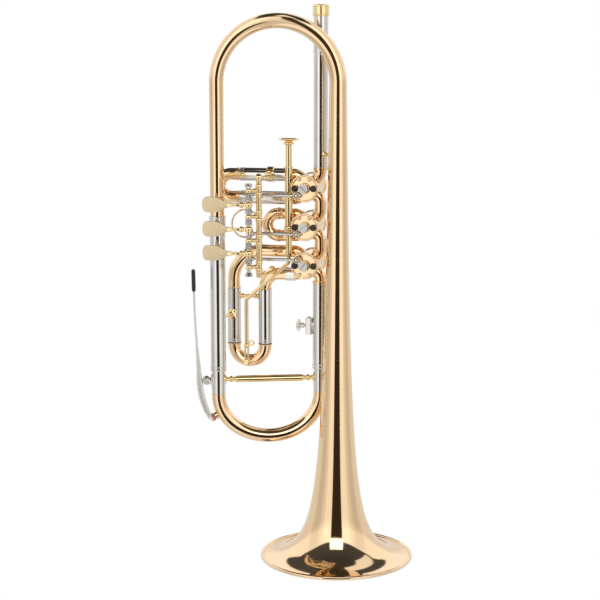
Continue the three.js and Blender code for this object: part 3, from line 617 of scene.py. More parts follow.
def leadpipe():
    high = box("leadpipe")[1]
    joint = box("valve_casing_1")[1].z + 4.5
    tube = Shape()
    profile = [(4.6, 0), (LEG_RADIUS, 0), (LEG_RADIUS, high.z - joint), (4.6, high.z - joint)]
    lathe(tube, rounded(profile, 0.2, closed=True), lift(LINE, joint), UP, 72, closed=True)
    make("leadpipe_tube", tube, NICKEL, stands_for="leadpipe")
    knuckle = Shape()
    corners = [lift(LINE, joint + 3), line_corner(1, 45), port(1, 45, PORT_MOUTH)]
    pipe(knuckle, route(corners, KNUCKLE_BEND), KNUCKLE_RADIUS, 0.5)
    ring(knuckle, lift(LINE, joint - 1.2), lift(LINE, joint + 1.2), 6.4, 4.9)
    make("leadpipe_knuckle", knuckle, GOLD)


def sleeve_with_bands(shape, axis, low, high, outer, bore, bands, lip):
    """An outer slide tube whose open end carries two thin raised bands."""
    profile = [(bore, 0), (outer, 0), (outer, high - low), (bore, high - low)]
    lathe(shape, rounded(profile, 0.2, closed=True), lift(axis, low), UP, 72, closed=True)
    for z in bands:
        ring(shape, lift(axis, z), lift(axis, z + 1.1), outer + lip, bore + 0.05, edge=0.4)


def main_slide_sleeves():
    for side, axis in (("left", LEG), ("right", LINE)):
        low, high = box(f"main_slide_sleeve_{side}")
        top = high.z if side == "left" else box("valve_casing_3")[0].z - 4.7
        shape = Shape()
        bands = [low.z, low.z + 2.6]
        sleeve_with_bands(shape, axis, low.z, top, SLEEVE_RADIUS, INNER_LEG_RADIUS + 0.38, bands, 0.6)
        make(f"main_sleeve_{side}", shape, NICKEL, stands_for=f"main_slide_sleeve_{side}")
    knuckle = Shape()
    corners = [port(3, 315, PORT_MOUTH), line_corner(3, 315), lift(LINE, top - 2)]
    pipe(knuckle, route(corners, KNUCKLE_BEND), KNUCKLE_RADIUS, 0.5)
    ring(knuckle, lift(LINE, top - 1.5), lift(LINE, top + 1), 6.9, 4.9, edge=0.5)
    make("outlet_knuckle", knuckle, GOLD)


BOW_LOW = box("main_tuning_bow")[0].z + INNER_LEG_RADIUS
TUNING_BOW_DROP = 36.5
TUNING_BOW_START = BOW_LOW + TUNING_BOW_DROP


def tuning_bow_point(angle):
    """On the centre line of the lower bow, from the leg at 0 to the valves' line at pi."""
    share = (1 - math.cos(angle)) / 2
    return lift(LEG + (LINE - LEG) * share, TUNING_BOW_START - TUNING_BOW_DROP * math.sin(angle))


SEAT_ANGLE = math.asin(14.7 / TUNING_BOW_DROP)
SEAT_POINT = tuning_bow_point(SEAT_ANGLE)
SEAT_ALONG = (tuning_bow_point(SEAT_ANGLE + 0.01) - tuning_bow_point(SEAT_ANGLE - 0.01)).normalized()
SEAT_AXIS = (OUT - SEAT_ALONG * OUT.dot(SEAT_ALONG)).normalized()


def seat_place(distance):
    return SEAT_POINT + SEAT_AXIS * distance


def main_slide():
    body = "main_slide"
    joint = TUNING_BOW_START + 1.5
    bow = Shape()
    stations = [lift(LEG, joint)]
    stations += [tuning_bow_point(math.pi * k / 72) for k in range(73)]
    stations += [lift(LINE, joint)]
    pipe(bow, stations, INNER_LEG_RADIUS, 0.6, sides=64)
    ring(bow, seat_place(4.9), seat_place(7.8), 3.1, 1.4, edge=0.5)
    make("tuning_bow", bow, GOLD, body, stands_for="main_tuning_bow")
    legs = Shape()
    top = box("main_tuning_bow")[1].z
    for axis in (LEG, LINE):
        ring(legs, lift(axis, joint), lift(axis, top), INNER_LEG_RADIUS, INNER_LEG_RADIUS - 0.6)
    make("tuning_slide_legs", legs, NICKEL, body)
    brace = Shape()
    z = middle("main_slide_brace").z
    left, right = lift(LEG, z), lift(LINE, z)
    along = (right - left).normalized()
    reach = INNER_LEG_RADIUS + 1.4
    near = left + along * reach
    length = (right - left).length - 2 * reach
    half = [(0, 0), (2.0, 0), (1.5, 1.2), (1.7, 2.0), (2.8, 2.6), (2.8, 4.4), (1.8, 5.0), (1.8, 6.4),
            (2.3, 6.8), (2.3, 7.6), (2.9, 8.2)]
    profile = half + [(r, length - a) for r, a in half[::-1]]
    lathe(brace, rounded(profile, 0.45), near, along, 48)
    for end, way in ((left, along), (right, -along)):
        saddle(brace, end, UP, way, INNER_LEG_RADIUS, 3.6, 1.9, 2.0, tall=4.2)
    make("tuning_slide_brace", brace, YELLOW, body, stands_for="main_slide_brace")


# ---------------------------------------------------------------- water key

def key_place(out, z, side=0.0):
    return lift(LEG, z) + OUT * out + SIDEWAYS * side


def smooth_path(points, steps=10):
    """A smooth curve through the points, as a Catmull-Rom spline."""
    ends = [points[0] * 2 - points[1]] + points + [points[-1] * 2 - points[-2]]
    out = []
    for a, b, c, d in zip(ends, ends[1:], ends[2:], ends[3:]):
        for k in range(steps):
            t = k / steps
            out.append(0.5 * (b * 2 + (c - a) * t + (a * 2 - b * 5 + c * 4 - d) * t ** 2
                              + (b * 3 - a - c * 3 + d) * t ** 3))
    out.append(points[-1])
    return out


def spread(values, count):
    """Values at equal spacing, drawn out to a number of stations."""
    return np.interp(np.linspace(0, len(values) - 1, count), range(len(values)), values).tolist()


def water_key():
    pivot_z = middle("water_key_post").z
    pivot_out = 10.2
    post = Shape()
    saddle(post, lift(LEG, pivot_z), UP, OUT, INNER_LEG_RADIUS, 4.4, 2.6, 2.2, tall=5.6)
    for side in (-4.4, 4.4):
        start = key_place(INNER_LEG_RADIUS + 0.3, pivot_z, side * 0.8)
        rod(post, start, key_place(pivot_out + 0.4, pivot_z, side), 1.5, 1.4, edge=0.5)
        low, high = key_place(pivot_out, pivot_z, side - 0.7), key_place(pivot_out, pivot_z, side + 0.7)
        rod(post, low, high, 2.7, edge=0.4)
    rod(post, key_place(pivot_out, pivot_z, -5.6), key_place(pivot_out, pivot_z, 5.6), 0.9, edge=0.3)
    slotted_head(post, key_place(pivot_out, pivot_z, -5.3), -SIDEWAYS, 1.7, 0.9, 0.6)
    make("water_key_saddle", post, PALE, "main_slide", stands_for="water_key_post")

    spring = Shape()
    coil_radius = 3.1
    wire = 0.42
    turns = 3
    steps = 48
    for low, high in ((-3.3, -1.0), (1.0, 3.3)):
        stations = []
        for k in range(steps + 1):
            turn = 2 * math.pi * turns * k / steps
            side = low + (high - low) * k / steps
            stations.append(key_place(pivot_out + coil_radius * math.cos(turn),
                                      pivot_z + coil_radius * math.sin(turn), side))
        pipe(spring, stations, wire, sides=10)
    tail = [key_place(pivot_out + coil_radius, pivot_z, 3.3),
            key_place(pivot_out + coil_radius + 0.5, pivot_z - 4, 3.0),
            key_place(pivot_out + coil_radius - 0.2, pivot_z - 10, 1.6)]
    pipe(spring, smooth_path(tail, 6), wire, sides=10)
    make("water_key_spring", spring, STEEL, "water_key")

    lever = Shape()
    foot = seat_place(12.6) - lift(LEG, 0)
    outer = [(21.6, 249.2), (21.2, 228), (20.6, 208), (19.4, 185), (18.9, 167), (18.9, 152), (17.6, 141),
             (14.2, 130), (10.6, 123), (foot.dot(OUT) + 0.8, foot.z + 0.4)]
    depths = [1.8, 1.9, 1.9, 2.0, 3.6, 5.4, 5.6, 5.2, 4.6, 3.0]
    widths = [2.6, 3.0, 3.6, 4.2, 4.8, 5.0, 4.8, 4.4, 4.2, 4.6]
    centres = [key_place(out - depth / 2, z) for (out, z), depth in zip(outer, depths)]
    stations = smooth_path(centres, 10)
    ribbon(lever, stations, spread(widths, len(stations)), spread(depths, len(stations)), SIDEWAYS)
    rod(lever, key_place(pivot_out, pivot_z, -0.9), key_place(pivot_out, pivot_z, 0.9), 2.4, edge=0.4)
    rod(lever, key_place(pivot_out, pivot_z, 0), key_place(pivot_out + 5.5, pivot_z, 0), 1.2)
    rod(lever, seat_place(10.6), seat_place(12.5), 3.5, 3.0, edge=0.6, sides=48)
    make("water_key_lever_bar", lever, PALE, "water_key", stands_for="water_key_lever")

    grip = Shape()
    low_z, high_z = 229.5, 249.6
    steps = 20
    stations = []
    for k in range(steps + 1):
        z = low_z + (high_z - low_z) * k / steps
        stations.append(key_place(20.3 + 0.35 * k / steps, z))
    fullness = [math.sqrt(max(0.0, 1 - (2 * k / steps - 1) ** 10)) for k in range(steps + 1)]
    widths = [0.3 + 4.2 * full for full in fullness]
    depths = [0.3 + 3.1 * full for full in fullness]
    ribbon(grip, stations, widths, depths, SIDEWAYS)
    make("water_key_grip", grip, RUBBER, "water_key")

    pad = Shape()
    rod(pad, seat_place(8.1), seat_place(10.8), 3.2, 3.3, edge=0.7, sides=48)
    make("water_key_cork", pad, CORK, "water_key", stands_for="water_key_pad")


# ---------------------------------------------------------------- valves

UP_AT_REST = {1: -1, 2: -1, 3: 1}
CRANK = 7.69
LINK_Y = middle("linkage_rod_1").y


def crank_place(number, y):
    """The end of a stop arm's crank at rest, at a depth."""
    reach = CRANK / math.sqrt(2)
    axis = VALVES[number]
    return Vector((axis.x - reach, y, axis.z + UP_AT_REST[number] * reach))


def casing(number):
    low, high = box(f"valve_casing_{number}")
    axis = at_depth(VALVES[number], low.y)
    depth = high.y - low.y
    bore = 9.5
    slim = CASING_RADIUS - 0.35
    half = [(CASING_RADIUS, 0), (CASING_RADIUS, 3.2), (slim, 3.6)]
    profile = [(bore, 0)] + half + [(r, depth - a) for r, a in half[::-1]] + [(bore, depth)]
    shape = Shape()
    lathe(shape, rounded(profile, 0.25, closed=True), axis, BACK, 96, closed=True)
    for degrees in (45, 135, 225, 315):
        ring(shape, port(number, degrees, 9.9), port(number, degrees, 11.7), 5.75, 4.7, edge=0.6)
    make(f"valve_{number}_shell", shape, GOLD, stands_for=f"valve_casing_{number}")


def front_plate(number):
    high = box(f"valve_front_plate_{number}")[1]
    axis = VALVES[number]
    face = 2.7
    rim = CASING_RADIUS + 0.6
    shape = Shape()
    profile = [(2.2, 0), (rim, 0), (rim, face - 0.5), (rim - 0.5, face), (rim - 1.3, face),
               (rim - 1.7, face - 0.5), (2.2, face - 0.5)]
    lathe(shape, rounded(profile, 0.3, closed=True), at_depth(axis, high.y), FRONT, 96, closed=True)
    for x in (-4.4, 4.4):
        foot = Vector((axis.x + x, high.y - 1.8, axis.z - 7.6 * UP_AT_REST[number]))
        dome(shape, foot, FRONT, 1.6, 1.5, 1.1)
    bumpers = Shape()
    for x in (-8, 8):
        foot = Vector((axis.x + x, high.y - 1.8, axis.z))
        ring(shape, foot, foot + FRONT * 2.2, 3.05, 2.5, edge=0.3)
        dome(bumpers, foot + FRONT * 0.2, FRONT, 2.65, 2.8, 1.0)
    make(f"valve_{number}_plate", shape, GOLD, stands_for=f"valve_front_plate_{number}")
    make(f"valve_{number}_bumpers", bumpers, RUBBER)


def rear_cap(number):
    low = box(f"valve_rear_cap_{number}")[0]
    profile = [(0, 1.9), (2.6, 1.9), (2.6, 0), (11.2, 0), (11.6, 0.4), (11.6, 2.9), (11.1, 3.5), (10.2, 4.1),
               (9.6, 4.0), (5.2, 3.9), (4.2, 4.3), (3.6, 5.4), (2.9, 5.7), (0, 5.7)]
    shape = Shape()
    lathe(shape, rounded(profile, 0.25), at_depth(VALVES[number], low.y), BACK, 288, flutes=72, depth=0.35,
          band=(0.5, 2.85))
    make(f"valve_{number}_cap", shape, YELLOW, stands_for=f"valve_rear_cap_{number}")


def stop_arm(number):
    body = f"rotor_{number}"
    axis = VALVES[number]
    back = -5.4
    front = -7.9
    hub = Shape()
    profile = [(0, 0), (4.6, 0), (4.6, back - front), (0, back - front)]
    lathe(hub, rounded(profile, 0.6), at_depth(axis, back), FRONT, 64)
    tip = crank_place(number, back)
    along = (tip - at_depth(axis, back)).normalized()
    across = along.cross(FRONT)
    nose = 2.3
    outline = [(-3.6, -3.2), (3.6, -2.5), (CRANK, -nose)]
    for k in range(1, 10):
        turn = math.pi * k / 10
        outline.append((CRANK + nose * math.sin(turn), -nose * math.cos(turn)))
    outline += [(CRANK, nose), (3.6, 2.5), (-3.6, 3.2)]
    slab(hub, outline, at_depth(axis, back), along, -across, back - front, edge=0.6)
    rod(hub, tip + FRONT * 2.3, tip + FRONT * 3.3, 1.9, 1.3)
    ball(hub, crank_place(number, LINK_Y), 1.9)
    rod(hub, crank_place(number, LINK_Y), crank_place(number, -11.9), 1.2, 1.1, edge=0.5)
    make(f"stop_arm_{number}_body", hub, YELLOW, body, stands_for=f"stop_arm_{number}")
    screw = Shape()
    slotted_head(screw, at_depth(axis, front + 0.2), FRONT, 3.9, 2.7, {1: 0.8, 2: 2.2, 3: 2.5}[number])
    make(f"stop_arm_{number}_screw", screw, STEEL, body)


# ---------------------------------------------------------------- tubing beside the valves

def valve_knuckles():
    for number in NUMBERS[:-1]:
        shape = Shape()
        corners = [port(number, 315, PORT_MOUTH), line_corner(number, 315), line_corner(number + 1, 45),
                   port(number + 1, 45, PORT_MOUTH)]
        pipe(shape, route(corners, KNUCKLE_BEND), KNUCKLE_RADIUS, 0.5)
        name = f"valve_knuckle_{number}_{number + 1}"
        make(f"{name}_tube", shape, GOLD, stands_for=name)


def port_tube(shape, number, degrees, offset, radius, bend, end_x):
    """The tube that leaves a valve's port at a slant and turns level."""
    corner = port_corner(number, degrees, offset)
    corners = [port(number, degrees, PORT_MOUTH), corner, Vector((end_x, corner.y, corner.z))]
    pipe(shape, route(corners, bend), radius, 0.35)


def crook(shape, legs, first, second, away, bow_radius, leg_radius, inserted, straight=0.01):
    """The sliding half of a slide: a bow with a bead at each mouth, and two legs. The bow runs straight
    for a while before it turns."""
    half = (second - first).length / 2
    corners = [first, first + away * (half + straight), second + away * (half + straight), second]
    pipe(shape, route(corners, half, 24), bow_radius, 0.5)
    for end in (first, second):
        ring(shape, end - away * 1.3, end + away * 0.4, bow_radius + 0.45, leg_radius - 0.2, edge=0.5)
        ring(legs, end - away * inserted, end - away * 0.2, leg_radius, leg_radius - 0.5)


def slide_end(shape, end, away, radius):
    """The two raised bands at the open end of an outer slide tube."""
    for back in (1.0, 3.2):
        start = end - away * (back + 0.1)
        ring(shape, start, end - away * (back - 1.0), radius + 0.45, radius - 0.3, edge=0.4)


def first_slide():
    low = box("first_slide_sleeve_upper")[0]
    radius = 5.6
    joint = VALVES[1].x - 15.5
    for name, degrees, side in (("upper", 135, 1), ("lower", 225, -1)):
        level = Vector((0, LINE.y, VALVES[1].z + side * SLIDE_OFFSET))
        bent = Shape()
        port_tube(bent, 1, degrees, SLIDE_OFFSET, radius - 0.3, 5.8, joint)
        make(f"first_slide_port_{name}", bent, GOLD)
        sleeve = Shape()
        ring(sleeve, level + RIGHT * (joint + 1), level + RIGHT * low.x, radius, radius - 0.35, edge=0.15)
        collar = level + RIGHT * (joint + 1.2)
        ring(sleeve, collar, level + RIGHT * (joint - 1.6), radius + 0.3, radius - 0.4, edge=0.5)
        slide_end(sleeve, level + RIGHT * low.x, -RIGHT, radius)
        make(f"first_slide_tube_{name}", sleeve, NICKEL, stands_for=f"first_slide_sleeve_{name}")
    bow = Shape()
    legs = Shape()
    start = low.x - 2.9
    straight = start - SLIDE_OFFSET - 5.2 - box("first_slide_crook")[0].x
    inserted = box("first_slide_crook")[1].x - start
    ends = [Vector((start, LINE.y, VALVES[1].z + side * SLIDE_OFFSET)) for side in (1, -1)]
    crook(bow, legs, *ends, -RIGHT, 5.2, 4.8, inserted, straight)
    make("first_slide_bow", bow, GOLD, "first_slide", stands_for="first_slide_crook")
    make("first_slide_legs", legs, NICKEL, "first_slide")


PULL_RING = 11.9


def pull_ring(shape, centre):
    """A thin round ring that a finger pulls the slide by, on a short stem from the end of the bow."""
    rings = []
    for k in range(72):
        turn = 2 * math.pi * k / 72
        spoke = RIGHT * math.cos(turn) + UP * math.sin(turn)
        wire = []
        for j in range(16):
            lean = 2 * math.pi * j / 16
            wire.append(centre + spoke * (PULL_RING + 0.85 * math.cos(lean)) + FRONT * 0.85 * math.sin(lean))
        rings.append(wire)
    shape.skin(rings, looped=True)
    rod(shape, centre + RIGHT * (PULL_RING - 0.3), centre + RIGHT * (PULL_RING + 3.6), 1.4, 2.2, edge=0.5)


def second_slide():
    low = box("second_slide_sleeve_upper")[0]
    radius = 4.6
    for name, degrees, side in (("upper", 135, 1), ("lower", 225, -1)):
        end = Vector((low.x, LINE.y, VALVES[2].z + side * SECOND_OFFSET))
        shape = Shape()
        port_tube(shape, 2, degrees, SECOND_OFFSET, radius, 4.7, low.x)
        slide_end(shape, end, -RIGHT, radius)
        name = f"second_slide_sleeve_{name}"
        make(f"{name}_tube", shape, GOLD, stands_for=name)
    bow = Shape()
    legs = Shape()
    start = low.x - 1.4
    inserted = box("second_slide_crook")[1].x - start
    ends = [Vector((start, LINE.y, VALVES[2].z + side * SECOND_OFFSET)) for side in (1, -1)]
    crook(bow, legs, *ends, -RIGHT, 4.9, 4.0, inserted)
    pull_ring(bow, Vector((box("second_slide_crook")[0].x + PULL_RING + 0.85, LINE.y, VALVES[2].z)))
    make("second_slide_bow", bow, GOLD, "second_slide", stands_for="second_slide_crook")
    make("second_slide_legs", legs, YELLOW, "second_slide")


def third_slide():
    sleeve_low, sleeve_high = box("third_slide_sleeve_left")
    axes = {side: lift(middle(f"third_slide_sleeve_{side}"), 0) for side in ("left", "right")}
    for name, degrees, side, bend in (("outer", 135, "left", 25), ("inner", 225, "right", 12.5)):
        corner = port_corner(3, degrees, SLIDE_OFFSET)
        turn = lift(axes[side], corner.z)
        start = route([port(3, degrees, PORT_MOUTH), corner, turn], 5.9)
        end = route([corner, turn, lift(axes[side], sleeve_high.z - 2)], bend, 24)
        shape = Shape()
        pipe(shape, start[:-1] + end[1:], 5.2, 0.5)
        band = lift(axes[side], sleeve_high.z + 0.1)
        ring(shape, band, lift(axes[side], sleeve_high.z + 1.2), 5.75, 5.0, edge=0.3)
        make(f"third_slide_{name}_bend", shape, GOLD, stands_for=f"third_slide_tube_{name}")
    level = Vector((VALVES[3].x, LINE.y, VALVES[3].z - SLIDE_OFFSET))
    ferrule = Shape()
    ring(ferrule, level - RIGHT * 20, level - RIGHT * 11.5, 5.75, 5.0, edge=0.3)
    make("third_slide_ferrule", ferrule, NICKEL)
    for side, axis in axes.items():
        shape = Shape()
        ring(shape, lift(axis, sleeve_low.z), lift(axis, sleeve_high.z), 5.8, 5.45, edge=0.15)
        slide_end(shape, lift(axis, sleeve_low.z), -UP, 5.7)
        make(f"third_slide_{side}_sleeve", shape, NICKEL, stands_for=f"third_slide_sleeve_{side}")
    bow = Shape()
    legs = Shape()
    bow_start = sleeve_low.z - 2.2
    inserted = box("third_slide_crook")[1].z - bow_start
    crook(bow, legs, lift(axes["left"], bow_start), lift(axes["right"], bow_start), -UP, 5.4, 5.1, inserted)
    centre = (axes["left"] + axes["right"]) / 2
    z = bow_start - (axes["right"] - axes["left"]).length / 2
    lug = lift(centre, z)
    saddle(bow, lug, RIGHT, FRONT, 5.4, 3.8, 2.5, 1.8)
    rod(bow, Vector((lug.x, lug.y - 6.6, z)), Vector((lug.x, 4.9, z)), 2.4, edge=0.5)
    make("third_slide_bow", bow, GOLD, "third_slide", stands_for="third_slide_crook")
    make("third_slide_legs", legs, NICKEL, "third_slide")
    # Painted shade: dark red rings fill the gaps between the bow's mouths and the sleeves' ends, standing in
    # for the shade in those joints.
    joint_shade_rings = Shape()
    for axis in axes.values():
        ring(joint_shade_rings, lift(axis, bow_start + 0.5), lift(axis, sleeve_low.z - 0.4), 5.75, 5.15, edge=0.3)
    make("third_slide_painted_joint_shade", joint_shade_rings, JOINT_SHADE, "third_slide")


# ---------------------------------------------------------------- trigger of the third slide

def trigger():
    low, high = box("trigger_guide_tube")
    guide = Shape()
    ring(guide, lift(TRIGGER, low.z), lift(TRIGGER, high.z), 3.3, 3.05, edge=0.1)
    for z in (low.z + 1.2, low.z + 26.7):
        bead(guide, lift(TRIGGER, z + 2.25), UP, 4.1, 3.2, 2.25)
    for z in (low.z, high.z - 1.2):
        ring(guide, lift(TRIGGER, z), lift(TRIGGER, z + 1.2), 3.75, 3.1, edge=0.5)
    for side in (1, -1):
        level = Vector((TRIGGER.x, LINE.y, VALVES[1].z + side * SLIDE_OFFSET))
        saddle(guide, level, RIGHT, FRONT, 5.6, 3.6, 2.1, 2.2)
    make("trigger_guide", guide, YELLOW, stands_for="trigger_guide_tube")

    low, high = box("trigger_plunger")
    plunger = Shape()
    height = high.z - low.z
    button = [(2.6, 5.8), (3.0, 5.2), (4.6, 4.6), (4.6, 3.6), (2.5, 2.9), (4.6, 2.0), (8.6, 1.0), (9.0, 0.5),
              (8.8, 0), (6.5, 0.7), (3.0, 1.1), (0, 1.2)]
    profile = [(0, 0), (2.6, 0)] + [(radius, height - drop) for radius, drop in button]
    lathe(plunger, rounded(profile, 0.35), lift(TRIGGER, low.z), UP, 72)
    make("trigger_plunger_and_button", plunger, YELLOW, "third_slide", stands_for="trigger_plunger")

    low, high = box("trigger_push_rod")
    centre = middle("third_slide_crook").x
    pivot = low.z + 2.7
    upright = Vector((centre, TRIGGER.y, 0))
    push = Shape()
    corners = [lift(TRIGGER, high.z + 0.6), lift(TRIGGER, high.z - 4.8), lift(upright, high.z - 37.4),
               lift(upright, pivot + 15)]
    pipe(push, route(corners, 3.2), 1.7, sides=24)
    elbow = lift(upright, pivot + 15)
    ball(push, elbow, 2.5)
    for side in (-1.35, 1.35):
        rod(push, elbow + RIGHT * side, lift(upright, pivot + 1.5) + RIGHT * side, 0.8)
    rod(push, Vector((centre, 0.2, pivot)), Vector((centre, 4.5, pivot)), 2.9, edge=0.8, sides=48)
    stopper = elbow + RIGHT * 4.3 + UP * 2.3
    rod(push, elbow, towards(stopper, elbow, 2.0), 0.8)
    ring(push, stopper + FRONT * 0.8, stopper + BACK * 0.8, 2.7, 1.3, edge=0.4)
    make("trigger_rod", push, YELLOW, "third_slide", stands_for="trigger_push_rod")
    screw = Shape()
    slotted_head(screw, Vector((centre, 0.5, pivot)), FRONT, 1.8, 0.9, 0.7)
    make("trigger_rod_screw", screw, YELLOW, "third_slide")


# ---------------------------------------------------------------- finger levers and links

LEVER_STROKE = 22.5
LEAN = math.radians(LEVER_STROKE / 2)
LEVER_ARM = CRANK / math.sqrt(2) / math.sin(LEAN)
PIN = HINGE + Vector((-LEVER_ARM * math.sin(LEAN), LEVER_ARM * math.cos(LEAN), 0))


def bead(shape, centre, axis, radius, bore, half, blunt=0.5):
    """A rounded ring on a rod, fullest in its middle."""
    steps = 8
    profile = [(bore, -half)]
    for k in range(-steps, steps + 1):
        share = k / steps
        profile.append((radius * math.sqrt(1 - blunt * share * share), half * share))
    profile.append((bore, half))
    lathe(shape, profile, centre, axis, 48, closed=True)


RAIL_BALL = 3.4
RAIL_TOP = box("lever_rail")[1].z - RAIL_BALL
KNUCKLE_Z = [RAIL_TOP - drop for drop in (10.5, 32.0, 51.7, 73.7)]


def lever_rail():
    low = box("lever_rail")[0]
    top = lift(RAIL, RAIL_TOP)
    rail = Shape()
    rod(rail, lift(RAIL, low.z), top, 2.4, edge=0.8)
    ball(rail, top, RAIL_BALL, 40)
    for z in KNUCKLE_Z:
        ball(rail, lift(HINGE, z), 2.75)
        start = towards(lift(RAIL, z), lift(HINGE, z), 1.5)
        rod(rail, start, towards(lift(HINGE, z), lift(RAIL, z), 2.3), 1.9, 1.5)
        for step in (-3.2, 3.2):
            ball(rail, lift(RAIL, z + step), 3.0)
    arm = smooth_path([top, top + BACK * 12, top + BACK * 24, top + BACK * 35.2], 6)
    pipe(rail, arm, spread([2.1, 1.7, 1.7, 2.2], len(arm)), sides=32)
    saddle(rail, at_depth(top, LINE.y), RIGHT, FRONT, 6.2, 4.0, 2.0, 2.4)
    level = Vector((RAIL.x, LINE.y, box("first_slide_sleeve_upper")[1].z - 5.3))
    ring(rail, level - RIGHT * 2.7, level + RIGHT * 2.7, 6.5, 5.4, edge=1.0)
    for step in (-2.7, 2.7):
        bead(rail, level + RIGHT * step, RIGHT, 6.9, 5.4, 0.8)
    foot_z = low.z + 2
    sole = Vector((RAIL.x + 2, LINE.y - 5.6, foot_z))
    rod(rail, lift(RAIL, foot_z), sole, 1.8, 1.8)
    rod(rail, sole + FRONT * 3.2, sole + FRONT * 0.6, 1.9, 3.4, edge=0.5)
    make("lever_rail_post", rail, YELLOW, stands_for="lever_rail")

    low, high = box("lever_hinge_rod")
    hinge = Shape()
    rod(hinge, lift(HINGE, low.z + 1), lift(HINGE, high.z - 1), 1.3)
    for start, direction in ((lift(HINGE, high.z - 4.2), UP), (lift(HINGE, low.z + 4.2), -UP)):
        profile = [(0, 0), (1.9, 0), (2.1, 0.5), (2.9, 1.9), (3.2, 2.3), (3.2, 3.7), (2.8, 4.1), (0, 4.2)]
        lathe(hinge, rounded(profile, 0.2), start, direction, 160, flutes=32, depth=0.3, band=(2.2, 3.8))
    make("lever_hinge", hinge, NICKEL, stands_for="lever_hinge_rod")


def lever_springs():
    for number in NUMBERS:
        hub_low, hub_high = lever_hub(number)
        shape = Shape()
        coil(shape, HINGE, hub_high + 0.5, KNUCKLE_Z[number - 1] - 2.3, 2.65, 0.35, 0.95)
        coil(shape, HINGE, KNUCKLE_Z[number] + 2.4, hub_low - 0.5, 2.65, 0.35, 0.95)
        make(f"lever_{number}_spring", shape, STEEL, stands_for=f"lever_spring_{number}")


LINK_Z = {number: middle(f"linkage_rod_{number}").z for number in NUMBERS}
ARM_Z = {1: LINK_Z[1] - 5.2, 2: LINK_Z[2] + 2.9, 3: LINK_Z[3] + 5.1}
PIN_END = {1: LINK_Z[1] + 2.6, 2: LINK_Z[2] - 4.9, 3: LINK_Z[3] - 2.6}


PLATE_HALF = 6.5


def lever_z(number):
    """Height of a finger plate's middle. It is the lowest part of lever 1, and the highest of the others."""
    low, high = box(f"finger_lever_{number}")
    return low.z + PLATE_HALF if number == 1 else high.z - PLATE_HALF


def lever_hub(number):
    z = lever_z(number)
    return min(ARM_Z[number] - 0.9, z - 3), max(ARM_Z[number] + 0.9, z + 3)


def curve(a, b, c, d, steps=10):
    """Points of a cubic curve from a, pulled by b and c, up to just before d."""
    out = []
    for k in range(steps):
        t = k / steps
        u = 1 - t
        weights = (u ** 3, 3 * u * u * t, 3 * u * t * t, t ** 3)
        out.append(tuple(sum(w * p[i] for w, p in zip(weights, (a, b, c, d))) for i in (0, 1)))
    return out


def plate_outline():
    """A spatula: a broad rounded pad that narrows to the neck. It points along +X from its tip."""
    half = PLATE_HALF
    under = curve((0, 0), (0, -4.4), (1.6, -half), (5, -half)) + curve(
        (5, -half), (8, -half), (9, -half), (12, -half + 0.3)) + curve(
        (12, -half + 0.3), (16.5, -5.2), (18.5, -1.9), (25, -1.7)) + [(25, -1.7)]
    return under + [(x, -z) for x, z in under[:0:-1]]


def finger_lever(number):
    body = f"lever_{number}"
    z = lever_z(number)
    low = box(f"finger_lever_{number}")[0]
    plate = Shape()
    face = HINGE.y - 3
    slab(plate, plate_outline(), Vector((low.x, face, z)), RIGHT, UP, 1.1, edge=0.5, crown=0.45)
    make(f"finger_plate_{number}", plate, SATIN, body, stands_for=f"finger_lever_{number}")

    lever = Shape()
    neck_x = HINGE.x - 5.6
    neck = Vector((neck_x, face + 1.0, z))
    path = [Vector((low.x + 17, face + 0.5, z)), Vector((low.x + 22, face - 0.2, z)),
            Vector((low.x + 27, face + 0.2, z)), neck, Vector((HINGE.x - 2, HINGE.y, z))]
    path = smooth_path(path, 5)
    widths = spread([2.2, 3.0, 2.7, 2.9, 3.4], len(path))
    depths = spread([1.2, 2.3, 2.6, 2.8, 3.2], len(path))
    ribbon(lever, path, widths, depths, UP)
    ball(lever, neck, 2.5)
    hub_low, hub_high = lever_hub(number)
    ball(lever, lift(HINGE, z), 3.25, 40)
    ring(lever, lift(HINGE, hub_low), lift(HINGE, hub_high), 2.2, 1.5)
    arm = lift(HINGE, ARM_Z[number])
    pin = lift(PIN, ARM_Z[number])
    rod(lever, towards(arm, pin, 1.7), pin, 1.5, 1.15)
    up = 1 if PIN_END[number] > ARM_Z[number] else -1
    rod(lever, pin - UP * up * 1.2, pin + UP * up * 1.2, 1.9, edge=0.4)
    rod(lever, pin, lift(PIN, PIN_END[number]), 1.1)
    make(f"finger_lever_{number}_arm", lever, YELLOW, body)


def link(number):
    start = Vector((PIN.x, LINK_Y, LINK_Z[number]))
    end = crank_place(number, LINK_Y)
    shape = Shape()
    bead(shape, start, UP, 3.3, 2.2, 1.5, blunt=0.35)
    bead(shape, end, FRONT, 3.2, 2.0, 1.45, blunt=0.35)
    shaft = 2.7
    length = end.x - start.x - 2 * shaft
    profile = [(0, 0), (1.1, 0), (1.1, 1.9), (1.4, 2.4), (1.4, length - 4.5), (1.1, length - 4),
               (1.1, length), (0, length)]
    lathe(shape, rounded(profile, 0.3), start + RIGHT * shaft, RIGHT, 32)
    make(f"link_{number}_rod", shape, STEEL, f"link_{number}", stands_for=f"linkage_rod_{number}")


# ---------------------------------------------------------------- stays and lyre holder

